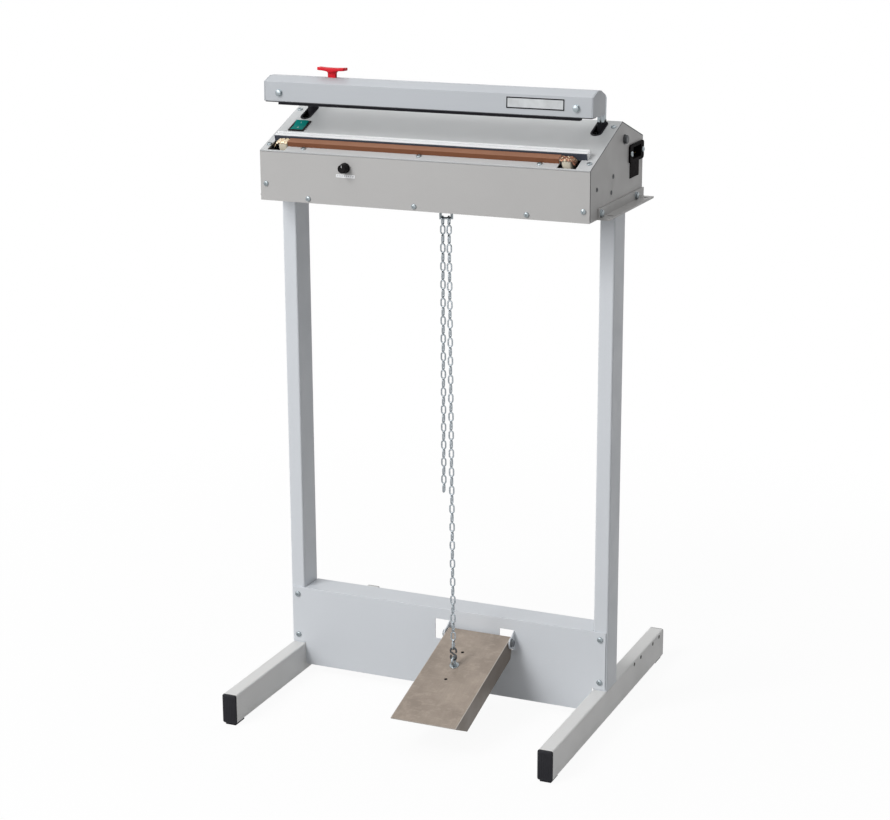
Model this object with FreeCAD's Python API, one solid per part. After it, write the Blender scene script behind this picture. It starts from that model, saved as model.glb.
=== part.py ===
import FreeCAD, Part
import math
import os

V = FreeCAD.Vector
X_AXIS = V(1, 0, 0)
Y_AXIS = V(0, 1, 0)
Z_AXIS = V(0, 0, 1)

# Millimetres. +X to the right, +Y to the rear, +Z up. The origin is on the floor, midway between the posts.

# Small fasteners
shank_sides = 8
hex_sides = 6
pan_sides = 10

# Stand: rectangular steel tube
stand_overhang = 10.0
tube_width = 25.0
tube_depth = 50.0
tube_wall = 2.0
tube_corner = 3.0
foot_length = 560.0
cap_head = 4.0
cap_plug = 14.0
cap_clearance = 0.1
pad_thickness = 4.0
pad_length = 30.0
foot_hole_radius = 3.0
foot_hole_drop = 6.2
foot_hole_pair = 35.0
foot_hole_rear = 26.0
foot_hole_step = 101.0
head_bottom = 850.0

# Cross panel: folded sheet screwed to the front of the posts
panel_sheet = 2.0
panel_top = 157.0
panel_bottom = 16.0
panel_edge_inset = 3.0
panel_side_gap = 1.0
panel_foot_gap = 3.0
panel_flange = 49.0
panel_screw_radius = 2.5
panel_screw_head = 5.0
panel_screw_head_height = 3.0
panel_screw_length = 9.0
panel_screw_drop = 13.0
panel_screw_rise = 12.0
hinge_tab_height = 35.5
hinge_reach = 13.25
hinge_tab_nose = 10.0
hinge_tab_taper = 0.9
hinge_tab_width = 25.0
hinge_height = 120.0

# Pedal
pedal_centre_x = 67.5
pedal_width = 113.0
pedal_side_gap = 1.0
pedal_sheet = 2.0
pedal_slope = 16.2
pedal_reach = 237.0
pedal_tail = 8.0
pedal_flange_height = 36.0
pedal_flange_cut = 38.0
pedal_plate_rise = 6.5
pedal_tail_cut = 20.0
pedal_heel = 6.0
pedal_travel = 12.0
pivot_bolt_radius = 4.0
running_clearance = 0.05
pivot_head_radius = 6.5
pivot_head_height = 4.0
eyebolt_x = 60.0
eyebolt_reach = 87.0
pedal_hole_step = 36.5
eyebolt_radius = 3.0
eyebolt_wire = 2.0
eye_radius = 6.5
eye_sides = 12
eyebolt_nut_radius = 5.5
eyebolt_nut_height = 5.0
eyebolt_washer_radius = 8.0
eyebolt_washer_height = 1.5

# Sealing head housing
sheet = 2.0
head_length = 560.0
head_front = -115.5
head_rear = 134.5
front_height = 80.5
ridge_y = 31.0
ridge_height = 136.0
rear_height = 101.0
base_lip = 24.0
chain_port = 44.0
bracket_front = -80.0
bracket_rear = 135.0
bracket_thickness = 3.0
bracket_flange = 20.0
bracket_leg = 17.0
bracket_slot_width = 6.4
bracket_slot_length = 11.0
bracket_slot_front = -53.0
bracket_slot_rear = 118.0
bracket_bolt_front = -71.0
bracket_bolt_rear = 96.0
bolt_radius = 3.0
bolt_head_radius = 5.5
bolt_head_height = 4.0
bracket_bolt_length = 9.0
head_bolt_spread = 30.0
head_bolt_gap = 0.5
head_bolt_length = 12.0
nut_plate = 6.0
housing_screw_radius = 2.0
housing_screw_head = 4.2
housing_screw_head_height = 2.6
housing_screw_length = 4.0
front_screw_height = 7.0
front_screw_left = 85.0
front_screw_right = 102.0
end_screw_left = 27.0
end_screw_right = 18.0
end_screw_inset = 10.0
slope_screw_inset = 8.0
slope_screw_low = 20.0
slope_screw_high = 137.0

# Seal jaw, measured up the sloped cover from its front edge
seal_front = 16.0
seal_depth = 13.5
seal_height = 8.0
seal_inset_left = 43.0
seal_inset_right = 55.0
ptfe = 0.6
band_width = 6.0
band_thickness = 0.5
film_bar_gap = 0.5
film_bar_depth = 16.0
film_bar_height = 11.0
film_bar_inset = 14.0
film_bar_chamfer = 1.0
cutter_groove_width = 4.0
cutter_groove_depth = 5.0
terminal_length = 27.0
terminal_depth = 12.0
terminal_drop = 12.0
terminal_round = 14.0
port_clearance = 4.0
port_front = 3.0
ledge_screw_reach = 11.0
ledge_screw_inset = 30.0

# Press arm, drawn closed on the slope and then opened about the pivot
pivot_y = 43.6
pivot_height = 106.4
shaft_radius = 6.0
shaft_overhang = 0.7
bush_radius = 8.0
bush_length = 6.0
open_angle = 22.7
close_gap = 0.4
arm_end_gap = 2.0
arm_front = 12.2
arm_depth = 55.0
arm_rise = 6.0
arm_face = 31.0
arm_shoulder = 20.5
arm_crown = 8.0
arm_sheet = 1.5
arm_back_lip = 6.0
arm_end_sheet = 2.0
bar_depth = 18.0
bar_height = 7.0
rubber_depth = 12.0
rubber_height = 4.0
rubber_inset = 23.0
side_arm_inset = 27.0
plate_thickness = 4.0
plate_gap = 3.0
neck_front = 33.5
neck_width = 10.0
limb_depth = 12.0
limb_height = 18.0
tail_reach = 40.0
tail_rise = 2.0
tail_end = 6.0
plate_corner = 4.0
slot_width = 16.0
slot_low = 107.8
slot_high = 151.4
grommet_wall = 1.2
grommet_lip = 1.5
arm_bolt_rise = 13.5
spring_pin_radius = 2.5
spring_radius = 7.0
spring_length = 52.0
spring_gap = 0.3
spring_hook_radius = 1.2
anchor_height = 14.0
anchor_size = 10.0

# Pull lever, rod and chain
lever_shortest = 20.0
lever_longest = 100.0
lever_thickness = 6.0
lever_hub_radius = 12.0
lever_hub_length = 24.0
lever_tip_radius = 9.0
lever_taper = 0.9
lever_sides = 16
lever_pin_radius = 3.0
lever_pin_head = 5.0
lever_pin_head_height = 2.0
rod_eye_radius = 7.0
rod_eye_width = 5.0
rod_radius = 2.2
rod_length = 122.0
loop_left = 14.5
loop_right = 5.0
loop_height = 12.0
spare_offset = 10.9
spare_links = 31
chain_wire = 1.3
chain_pitch = 15.0
link_width = 10.4
link_gap = 0.3
link_arc_steps = 3
wire_sides = 6
chain_sides = 4
hook_radius = 5.0
hook_wire = 1.6
hook_steps = 5
hook_start_angle = -35.0
hook_sweep_angle = 215.0
hook_eye_gap = 1.2

# Cutter on the arm
cutter_rest = 108.0
cutter_slot_inset = 63.0
cutter_slot_width = 6.6
cutter_stem_width = 14.0
cutter_gap = 0.3
cutter_handle_width = 47.0
cutter_handle_depth = 17.0
cutter_handle_height = 6.0
cutter_handle_tip = 5.0
cutter_stem_rise = 9.0
cutter_wing_lift = 1.0
rail_width = 13.0
rail_height = 10.0
rail_wall = 1.5
carriage_length = 40.0
carriage_height = 5.5
blade_length = 16.0
blade_thickness = 0.8
blade_bite = 3.0

# Controls and power
rocker_inset = 33.0
rocker_reach = 82.5
rocker_width = 21.4
rocker_length = 25.6
rocker_gap = 0.3
rocker_end_gap = 0.8
rocker_dish = 2.2
rocker_rise = 3.8
rocker_floor = 3.0
rocker_tilt = 7.0
rocker_pin_radius = 1.5
rocker_pin_bite = 1.0
bezel_wall = 1.4
bezel_lip = 1.4
bezel_height = 2.0
bezel_depth = 14.0
knob_inset = 151.5
knob_height = 60.4
knob_radius = 7.4
knob_length = 14.0
knob_skirt_radius = 8.4
knob_skirt = 4.0
knob_gap = 0.3
knob_flutes = 18
knob_flute_depth = 0.6
knob_shaft_radius = 3.0
knob_shaft_length = 12.0
pot_radius = 8.5
pot_length = 12.0
pot_wall = 1.5
board_width = 90.0
board_height = 46.0
board_thickness = 1.6
inlet_front = 64.0
inlet_rear = 132.0
inlet_low = 65.0
inlet_high = 94.0
inlet_flange = 3.0
inlet_corner = 5.0
inlet_body_inset = 12.0
inlet_screw_inset = 6.0
inlet_body_margin = 3.0
inlet_depth = 18.0
inlet_wall = 2.0
inlet_pin_length = 10.0
inlet_pin_width = 4.0
inlet_pin_height = 2.0
inlet_pin_spread = 14.0
inlet_pin_rise = 4.0
fuse_front = 70.0
fuse_rear = 114.0
fuse_low = 40.0
fuse_depth = 14.0
fuse_lip = 1.0
fuse_gap = 0.6
transformer_x = 130.0
transformer_y = 20.0
core_width = 76.0
core_depth = 40.0
core_height = 64.0
coil_width = 46.0
coil_depth = 62.0
coil_height = 40.0
switch_x = -6.0
switch_width = 20.0
switch_depth = 28.0
switch_height = 80.5
switch_body = 30.0
side_screw_places = ((-84.0, 47.0), (-8.5, 56.0), (-17.0, 32.0))

# Values worked out from the sizes above
stand_width = head_length + 2 * stand_overhang
post_outer = stand_width / 2
post_inner = post_outer - tube_width
foot_top = pad_thickness + tube_depth
half_head = head_length / 2
arm_length = head_length - 2 * arm_end_gap
side_arm_x = arm_length / 2 - side_arm_inset
rubber_length = arm_length - 2 * rubber_inset
cutter_slot_half = arm_length / 2 - cutter_slot_inset
cutter_x = cutter_rest - arm_length / 2
film_bar_length = head_length - 2 * film_bar_inset
seal_length = head_length - seal_inset_left - seal_inset_right
seal_offset = (seal_inset_left - seal_inset_right) / 2
rocker_x = rocker_inset - half_head
knob_x = knob_inset - half_head
front_top = head_bottom + front_height
ridge_z = head_bottom + ridge_height
rear_top = head_bottom + rear_height
pivot_z = head_bottom + pivot_height
slope = math.atan2(ridge_z - front_top, ridge_y - head_front)
slope_deg = math.degrees(slope)
panel_back = -tube_depth / 2
panel_front = panel_back - panel_sheet
hinge_y = panel_front - hinge_reach
arm_base = seal_height + arm_rise
pivot_s = (pivot_y - head_front) * math.cos(slope) + (pivot_z - front_top) * math.sin(slope)
pivot_h = (pivot_z - front_top) * math.cos(slope) - (pivot_y - head_front) * math.sin(slope)


def box(x0, x1, y0, y1, z0, z1):
    return Part.makeBox(x1 - x0, y1 - y0, z1 - z0, V(x0, y0, z0))


def rod(start, end, radius):
    along = end.sub(start)
    return Part.makeCylinder(radius, along.Length, start, along)


def flat_sided(start, end, radius, sides):
    """A bar of few flat sides: bolt heads and nuts, and the shanks and holes of small fasteners."""
    along = end.sub(start)
    turns = [2 * math.pi * k / sides for k in range(sides + 1)]
    outline = Part.makePolygon([V(radius * math.cos(a), radius * math.sin(a), 0) for a in turns])
    solid = Part.Face(outline).extrude(V(0, 0, along.Length))
    solid.Placement = FreeCAD.Placement(start, FreeCAD.Rotation(Z_AXIS, along))
    return solid


def shank(start, end, radius):
    """The shank of a small fastener, and the hole it fills."""
    return flat_sided(start, end, radius, shank_sides)


def bolt(seat, direction, radius, length, head_radius, head_height, head_sides):
    """A bolt or screw: the head stands on the seat along the direction and the shank goes the other way."""
    head = flat_sided(seat, seat.add(V(direction) * head_height), head_radius, head_sides)
    return head.fuse(shank(seat, seat.sub(V(direction) * length), radius)).removeSplitter()


def prism(points, x0, x1):
    """A (y, z) outline drawn out along X."""
    corners = [V(x0, y, z) for y, z in points]
    return Part.Face(Part.makePolygon(corners + corners[:1])).extrude(V(x1 - x0, 0, 0))


def folded(points, thickness):
    """The closed outline of a bent sheet: the path, then the same path moved to its left by the thickness."""
    inner = []
    last = len(points) - 1
    for i, (y, z) in enumerate(points):
        before = points[max(i - 1, 0)]
        after = points[min(i + 1, last)]
        first = (y - before[0], z - before[1]) if i > 0 else (after[0] - y, after[1] - z)
        second = (after[0] - y, after[1] - z) if i < last else first
        a = math.atan2(first[1], first[0])
        b = math.atan2(second[1], second[0])
        turn = math.remainder(b - a, 2 * math.pi)
        middle = a + turn / 2 + math.pi / 2
        reach = thickness / math.cos(turn / 2)
        inner.append((y + reach * math.cos(middle), z + reach * math.sin(middle)))
    return list(points) + inner[::-1]


def edges_along(solid, axis):
    """The straight edges that run along the axis."""
    edges = []
    for edge in solid.Edges:
        along = edge.Vertexes[-1].Point.sub(edge.Vertexes[0].Point)
        if along.Length > 0 and along.cross(axis).Length < 1e-6 * along.Length:
            edges.append(edge)
    return edges


def round_edges(solid, axis, radius):
    return solid.makeFillet(radius, edges_along(solid, axis))


def tube(x0, x1, y0, y1, z0, z1, axis):
    """Rectangular tube with rounded corners, open at both ends along the axis."""
    outer = round_edges(box(x0, x1, y0, y1, z0, z1), axis, tube_corner)
    in_x = tube_wall * (1 - axis.x)
    in_y = tube_wall * (1 - axis.y)
    in_z = tube_wall * (1 - axis.z)
    return outer.cut(box(x0 + in_x, x1 - in_x, y0 + in_y, y1 - in_y, z0 + in_z, z1 - in_z))


def stadium(x, low, high, width, z0, z1):
    """A slot-shaped block along Y with round ends."""
    half = width / 2
    middle = box(x - half, x + half, low + half, high - half, z0, z1)
    ends = [rod(V(x, y, z0), V(x, y, z1), half) for y in (low + half, high - half)]
    return middle.fuse(ends).removeSplitter()


def wire_form(points, normal, radius, closed, sides):
    """Wire of few flat sides, bent along a flat path with mitred corners."""
    count = len(points)
    rings = []
    for i, point in enumerate(points):
        before = points[i - 1] if closed or i > 0 else point.sub(points[1].sub(point))
        after = points[(i + 1) % count] if closed or i < count - 1 else point.add(point.sub(points[i - 1]))
        first = point.sub(before).normalize()
        second = after.sub(point).normalize()
        across = normal.cross(first.add(second)).normalize()
        stretch = radius / across.dot(normal.cross(first))
        ring = []
        for k in range(sides):
            angle = 2 * math.pi * (k + 0.5) / sides
            offset = V(across) * (stretch * math.cos(angle)) + V(normal) * (radius * math.sin(angle))
            ring.append(point.add(offset))
        rings.append(ring)
    faces = []
    for i in range(count if closed else count - 1):
        here = rings[i]
        there = rings[(i + 1) % count]
        for k in range(sides):
            n = (k + 1) % sides
            faces.append(Part.Face(Part.makePolygon([here[k], here[n], there[n], there[k], here[k]])))
    if not closed:
        faces += [Part.Face(Part.makePolygon(ring + ring[:1])) for ring in (rings[0], rings[-1])]
    solid = Part.Solid(Part.Shell(faces))
    if solid.Volume < 0:
        solid.reverse()
    return solid


def on_slope(shape):
    """Places a shape drawn as (x, up the slope, off the slope) on the head's sloped cover."""
    placed = shape.copy()
    placed.rotate(V(0, 0, 0), X_AXIS, slope_deg)
    placed.translate(V(0, head_front, front_top))
    return placed


def opened(shape):
    """Takes a shape drawn on the slope with the arm closed, and swings it open."""
    placed = on_slope(shape)
    placed.rotate(V(0, pivot_y, pivot_z), X_AXIS, -open_angle)
    return placed


def on_pedal(shape):
    """Tilts a shape drawn about a level pedal to the pedal's slope at rest."""
    placed = shape.copy()
    placed.rotate(V(0, hinge_y, hinge_height), X_AXIS, pedal_slope)
    return placed


# Stand

def foot(side):
    x0, x1 = sorted((side * post_inner, side * post_outer))
    end = foot_length / 2 - cap_head
    solid = tube(x0, x1, -end, end, pad_thickness, foot_top, Y_AXIS)
    inside = side * (post_outer - 2 * tube_wall)
    outside = side * (post_outer + 1)
    z = foot_top - foot_hole_drop
    for step in (0, 1):
        for place in (0, foot_hole_pair):
            y = foot_length / 2 - foot_hole_rear - step * foot_hole_step - place
            solid = solid.cut(shank(V(inside, y, z), V(outside, y, z), foot_hole_radius))
    return solid


def foot_cap(side, end):
    x0, x1 = sorted((side * post_inner, side * post_outer))
    inset = tube_wall + cap_clearance
    y0, y1 = sorted((end * foot_length / 2, end * (foot_length / 2 - cap_head)))
    head = box(x0, x1, y0, y1, pad_thickness, foot_top)
    head = head.makeChamfer(tube_corner / 2, edges_along(head, Y_AXIS))
    p0, p1 = sorted((end * (foot_length / 2 - cap_head), end * (foot_length / 2 - cap_head - cap_plug)))
    plug = box(x0 + inset, x1 - inset, p0, p1, pad_thickness + inset, foot_top - inset)
    return head.fuse(plug).removeSplitter()


def foot_pad(side, end):
    x0, x1 = sorted((side * post_inner, side * post_outer))
    y0, y1 = sorted((end * (foot_length / 2 - cap_head), end * (foot_length / 2 - cap_head - pad_length)))
    return box(x0 + tube_corner, x1 - tube_corner, y0, y1, 0, pad_thickness)


def panel_screw_seats():
    """Where the cross panel is screwed to the posts: x, z."""
    x = post_outer - tube_width / 2
    rows = (panel_top - panel_screw_drop, foot_top + panel_foot_gap + panel_screw_rise)
    return [(side * x, z) for side in (-1, 1) for z in rows]


def panel_screw_cut(x, z):
    return shank(V(x, panel_front - 1, z), V(x, panel_front + panel_screw_length + 1, z), panel_screw_radius)


def post(side):
    x0, x1 = sorted((side * post_inner, side * post_outer))
    solid = tube(x0, x1, -tube_depth / 2, tube_depth / 2, foot_top, head_bottom, Z_AXIS)
    return solid.cut([panel_screw_cut(x, z) for x, z in panel_screw_seats() if x * side > 0])


def hinge_tabs():
    """The outer faces of the two pedal tabs: x of the pedal side, and the way the tab lies from there."""
    half = pedal_width / 2 + pedal_side_gap
    return [(pedal_centre_x - half, -1), (pedal_centre_x + half, 1)]


def cross_panel():
    edge = post_outer - panel_edge_inset
    inner = post_inner - panel_side_gap
    low = foot_top + panel_foot_gap
    outline = [V(-edge, panel_front, panel_top), V(edge, panel_front, panel_top), V(edge, panel_front, low),
               V(inner, panel_front, low), V(inner, panel_front, panel_bottom),
               V(-inner, panel_front, panel_bottom), V(-inner, panel_front, low), V(-edge, panel_front, low)]
    solid = Part.Face(Part.makePolygon(outline + outline[:1])).extrude(V(0, panel_sheet, 0))
    flange_end = panel_back + panel_flange
    solid = solid.fuse(box(-inner, inner, panel_back, flange_end, panel_top - panel_sheet, panel_top))
    for face_x, way in hinge_tabs():
        x0, x1 = sorted((face_x, face_x + way * panel_sheet))
        z0 = hinge_height - hinge_tab_height / 2
        z1 = hinge_height + hinge_tab_height / 2
        window = box(x0 - hinge_tab_width, x0, panel_front - 1, panel_back + 1, z0, z1)
        nose_half = hinge_tab_taper * hinge_tab_nose
        tab_side = [(panel_back, z0), (panel_back, z1), (panel_front, z1),
                    (hinge_y, hinge_height + nose_half), (hinge_y, hinge_height - nose_half),
                    (panel_front, z0)]
        tab = prism(tab_side, x0, x1)
        nose = rod(V(x0, hinge_y, hinge_height), V(x1, hinge_y, hinge_height), hinge_tab_nose)
        bore = rod(V(x0 - 1, hinge_y, hinge_height), V(x1 + 1, hinge_y, hinge_height), pivot_bolt_radius)
        solid = solid.cut(window).fuse([tab, nose]).cut(bore)
    return solid.cut([panel_screw_cut(x, z) for x, z in panel_screw_seats()]).removeSplitter()


def panel_screw(x, z):
    seat = V(x, panel_front, z)
    size = (panel_screw_radius, panel_screw_length, panel_screw_head, panel_screw_head_height, pan_sides)
    return bolt(seat, V(0, -1, 0), *size)


def pedal_pivot_bolt(face_x, way):
    """Shoulder bolt: its head lies outside the tab and its shank reaches through the pedal's flange."""
    seat = V(face_x + way * panel_sheet, hinge_y, hinge_height)
    length = panel_sheet + pedal_side_gap + pedal_sheet + pivot_head_height
    head = flat_sided(seat, seat.add(V(way * pivot_head_height, 0, 0)), pivot_head_radius, hex_sides)
    return head.fuse(rod(seat, seat.sub(V(way * length, 0, 0)), pivot_bolt_radius)).removeSplitter()


# Pedal, drawn level with its hinge in place and then tilted

def pedal_plate():
    x0 = pedal_centre_x - pedal_width / 2
    x1 = pedal_centre_x + pedal_width / 2
    top = hinge_height + pedal_plate_rise
    rear = hinge_y + pedal_tail
    front = hinge_y - pedal_reach
    low = top - pedal_flange_height
    side = [(rear, top), (front, top), (front, top - pedal_sheet), (front + pedal_flange_cut, low),
            (hinge_y - pedal_heel, low), (rear, low + pedal_tail_cut)]
    solid = prism(side, x0, x1)
    hollow = box(x0 + pedal_sheet, x1 - pedal_sheet, front - 1, rear + 1, low - 1, top - pedal_sheet)
    solid = solid.cut(hollow)
    bore = rod(V(x0 - 1, hinge_y, hinge_height), V(x1 + 1, hinge_y, hinge_height),
               pivot_bolt_radius + running_clearance)
    holes = [shank(V(eyebolt_x, hinge_y - eyebolt_reach + step * pedal_hole_step, top - 2 * pedal_sheet),
                  V(eyebolt_x, hinge_y - eyebolt_reach + step * pedal_hole_step, top + 1), eyebolt_radius)
             for step in (-1, 0, 1)]
    return on_pedal(solid.cut([bore] + holes))


def eyebolt_seat():
    return V(eyebolt_x, hinge_y - eyebolt_reach, hinge_height + pedal_plate_rise)


def eye_centre():
    """Centre of the eye above the level pedal."""
    lift = eyebolt_washer_height + eyebolt_wire + eye_radius
    return eyebolt_seat().add(V(0, 0, lift))


def eyebolt():
    seat = eyebolt_seat()
    shank_end = seat.sub(V(0, 0, pedal_sheet + 2 * eyebolt_nut_height))
    stem = shank(shank_end, seat.add(V(0, 0, eyebolt_washer_height + eyebolt_wire)), eyebolt_radius)
    turns = [2 * math.pi * (k + 0.5) / eye_sides for k in range(eye_sides)]
    path = [eye_centre().add(V(0, eye_radius * math.cos(a), eye_radius * math.sin(a))) for a in turns]
    ring = wire_form(path, X_AXIS, eyebolt_wire, True, wire_sides)
    return on_pedal(ring.fuse(stem).removeSplitter())


def eyebolt_fasteners():
    """Washer on the plate and nut below it."""
    seat = eyebolt_seat()
    washer = flat_sided(seat, seat.add(V(0, 0, eyebolt_washer_height)), eyebolt_washer_radius, 2 * eye_sides)
    nut_seat = seat.sub(V(0, 0, pedal_sheet))
    nut = flat_sided(nut_seat, nut_seat.sub(V(0, 0, eyebolt_nut_height)), eyebolt_nut_radius, hex_sides)
    bore_low = seat.sub(V(0, 0, 4 * eyebolt_nut_height))
    bore = shank(bore_low, seat.add(V(0, 0, eyebolt_nut_height)), eyebolt_radius)
    return [on_pedal(washer.cut(bore)), on_pedal(nut.cut(bore))]


# Head housing

def housing_path():
    """Outer line of the folded cover, from its front edge over the ridge and down the back."""
    return [(head_front, front_top), (ridge_y, ridge_z), (head_rear, rear_top), (head_rear, head_bottom)]


def inner_path():
    outline = folded(housing_path(), -sheet)
    return outline[:len(housing_path()) - 1:-1]


def front_screw_seats():
    """Screws in the front panel: x, z."""
    left = front_screw_left - half_head
    right = half_head - front_screw_right
    row = [(x, head_bottom + front_screw_height) for x in (left, (left + right) / 2, right)]
    x = half_head - end_screw_inset
    ends = [(-x, head_bottom + end_screw_left), (x, head_bottom + end_screw_right)]
    return row + ends


def front_screw_cut(x, z):
    deep = head_front + housing_screw_length + 1
    return shank(V(x, head_front - 1, z), V(x, deep, z), housing_screw_radius)


def slope_screw_seats():
    x = half_head - slope_screw_inset
    return [(side * x, reach) for side in (-1, 1) for reach in (slope_screw_low, slope_screw_high)]


def slope_screw_cut(x, reach):
    return on_slope(shank(V(x, reach, -sheet - 1), V(x, reach, 1), housing_screw_radius))


def ledge_screw_seats():
    reach = seal_length / 2 - ledge_screw_inset
    return [(seal_offset + step * reach, ledge_screw_reach) for step in (-1, 0, 1)]


def base_plate():
    x = half_head - sheet
    path = [(head_front + sheet, head_bottom + base_lip), (head_front + sheet, head_bottom),
            (head_rear - sheet, head_bottom)]
    solid = prism(folded(path, sheet), -x, x)
    half = chain_port / 2
    px, py = chain_port_centre()
    port = box(px - half, px + half, py - half, py + half, head_bottom - 1, head_bottom + sheet + 1)
    solid = solid.cut(port)
    for x, y in head_bolt_seats():
        solid = solid.cut(shank(V(x, y, head_bottom - 1), V(x, y, head_bottom + sheet + 1), bolt_radius))
    return solid.cut([front_screw_cut(x, z) for x, z in front_screw_seats()])


def head_bolt_seats():
    x = post_inner + tube_wall + bolt_radius + head_bolt_gap
    return [(side * x, end * head_bolt_spread / 2) for side in (-1, 1) for end in (-1, 1)]


def post_nut_plate(side):
    x0, x1 = sorted((side * (post_inner + tube_wall), side * (post_outer - tube_wall)))
    inner = tube_depth / 2 - tube_wall
    solid = box(x0, x1, -inner, inner, head_bottom - nut_plate, head_bottom)
    cuts = [shank(V(x, y, head_bottom - nut_plate - 1), V(x, y, head_bottom + 1), bolt_radius)
            for x, y in head_bolt_seats() if x * side > 0]
    return solid.cut(cuts)


def head_bolt(x, y):
    seat = V(x, y, head_bottom + sheet)
    return bolt(seat, Z_AXIS, bolt_radius, head_bolt_length, bolt_head_radius, bolt_head_height, hex_sides)


def front_panel():
    top = front_top - sheet / math.cos(slope)
    solid = box(-half_head, half_head, head_front, head_front + sheet, head_bottom, top)
    z = head_bottom + knob_height
    bore = rod(V(knob_x, head_front - 1, z), V(knob_x, head_front + sheet + 1, z),
               knob_shaft_radius + knob_gap)
    return solid.cut([bore] + [front_screw_cut(x, z) for x, z in front_screw_seats()])


def side_plate(side):
    x0, x1 = sorted((side * (half_head - sheet), side * half_head))
    roof = inner_path()
    front = head_front + sheet
    start = roof[0][1] + (front - roof[0][0]) * math.tan(slope)
    outline = [(front, head_bottom), (front, start)] + roof[1:-1] + [(head_rear - sheet, head_bottom)]
    solid = prism(outline, x0, x1)
    cuts = [rod(V(x0 - 1, pivot_y, pivot_z), V(x1 + 1, pivot_y, pivot_z), bush_radius)]
    for y in (bracket_bolt_front, bracket_bolt_rear):
        z = bracket_bolt_z()
        cuts.append(shank(V(x0 - 1, y, z), V(x1 + 1, y, z), bolt_radius))
    if side > 0:
        y0, y1, z0, z1 = inlet_body_place()
        cuts.append(box(x0 - 1, x1 + 1, y0, y1, z0, z1))
        cuts.append(box(x0 - 1, x1 + 1, fuse_front, fuse_rear, head_bottom + fuse_low, fuse_top()))
        cuts += [inlet_screw_cut(y, z) for y, z in inlet_screw_seats()]
        for y, rise in side_screw_places:
            z = head_bottom + rise
            cuts.append(shank(V(x0 - 1, y, z), V(x1 + 1, y, z), housing_screw_radius))
    return solid.cut(cuts)


def arm_slot(side, inset, z0, z1):
    return stadium(side * side_arm_x, slot_low + inset, slot_high - inset, slot_width - 2 * inset, z0, z1)


def terminal_port(side):
    """Opening beside the seal bar's end that the terminal goes down through: x0, x1, low, high."""
    end = seal_offset + side * seal_length / 2
    x0, x1 = sorted((end, end + side * (terminal_length + port_clearance)))
    middle = seal_front + seal_depth / 2
    half = terminal_depth / 2 + port_clearance
    return x0, x1, port_front, middle + half


def top_cover():
    solid = prism(folded(housing_path(), -sheet), -half_head, half_head)
    cuts = [on_slope(arm_slot(side, 0, -sheet - 1, 1)) for side in (-1, 1)]
    for side in (-1, 1):
        x0, x1, low, high = terminal_port(side)
        cuts.append(on_slope(box(x0, x1, low, high, -sheet - 1, 1)))
    half_x, half_y = bezel_half()
    window = box(rocker_x - half_x, rocker_x + half_x, rocker_reach - half_y, rocker_reach + half_y,
                 -sheet - 1, 1)
    cuts.append(on_slope(window))
    cuts += [slope_screw_cut(x, reach) for x, reach in slope_screw_seats() + ledge_screw_seats()]
    return solid.cut(cuts)


def slot_grommet(side):
    x = side * side_arm_x
    wide = slot_width + 2 * grommet_lip
    lip = stadium(x, slot_low - grommet_lip, slot_high + grommet_lip, wide, 0, grommet_wall)
    liner = arm_slot(side, 0, -sheet, grommet_wall)
    bore = arm_slot(side, grommet_wall, -sheet - 1, grommet_wall + 1)
    return on_slope(lip.fuse(liner).removeSplitter().cut(bore))


def housing_screws():
    size = (housing_screw_radius, housing_screw_length, housing_screw_head,
            housing_screw_head_height, pan_sides)
    front = [bolt(V(x, head_front, z), V(0, -1, 0), *size) for x, z in front_screw_seats()]
    top_seats = slope_screw_seats() + ledge_screw_seats()
    top = [on_slope(bolt(V(x, reach, 0), Z_AXIS, *size)) for x, reach in top_seats]
    side = [bolt(V(half_head, y, head_bottom + rise), X_AXIS, *size) for y, rise in side_screw_places]
    inlet = [bolt(V(half_head + inlet_flange, y, z), X_AXIS, *size) for y, z in inlet_screw_seats()]
    return front + top + side + inlet


def bracket_bolt_z():
    return head_bottom + bracket_thickness + bolt_head_radius + 1


def bracket(side):
    """Angle along the foot of the side plate, with a slotted flange to bolt the head to a bench."""
    edge = side * half_head
    x0, x1 = sorted((edge, edge + side * bracket_flange))
    leg0, leg1 = sorted((edge, edge + side * bracket_thickness))
    flange = box(x0, x1, bracket_front, bracket_rear, head_bottom, head_bottom + bracket_thickness)
    leg = box(leg0, leg1, bracket_front, bracket_rear, head_bottom, head_bottom + bracket_leg)
    solid = flange.fuse(leg).removeSplitter()
    slot_x = edge + side * (bracket_flange + bracket_thickness) / 2
    reach = (bracket_slot_length - bracket_slot_width) / 2
    for y in (bracket_slot_front, bracket_slot_rear):
        low = head_bottom - 1
        high = head_bottom + bracket_thickness + 1
        half = bracket_slot_width / 2
        solid = solid.cut(box(slot_x - reach, slot_x + reach, y - half, y + half, low, high))
        for end in (-reach, reach):
            solid = solid.cut(rod(V(slot_x + end, y, low), V(slot_x + end, y, high), half))
    z = bracket_bolt_z()
    places = (bracket_bolt_front, bracket_bolt_rear)
    cuts = [shank(V(leg0 - 1, y, z), V(leg1 + 1, y, z), bolt_radius) for y in places]
    return solid.cut(cuts)


def bracket_bolts():
    bolts = []
    for side in (-1, 1):
        for y in (bracket_bolt_front, bracket_bolt_rear):
            seat = V(side * (half_head + bracket_thickness), y, bracket_bolt_z())
            bolts.append(bolt(seat, V(side, 0, 0), bolt_radius, bracket_bolt_length, bolt_head_radius,
                              bolt_head_height, hex_sides))
    return bolts


# Seal jaw

def seal_ends():
    return seal_offset - seal_length / 2, seal_offset + seal_length / 2


def seal_bar():
    x0, x1 = seal_ends()
    low = seal_front + ptfe
    high = seal_front + seal_depth - ptfe
    top = seal_height - ptfe
    middle = (low + high) / 2
    bar = box(x0, x1, low, high, 0, top)
    half = band_width / 2
    groove = box(x0 - 1, x1 + 1, middle - half, middle + half, top - band_thickness, top + 1)
    return on_slope(bar.cut(groove))


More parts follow.
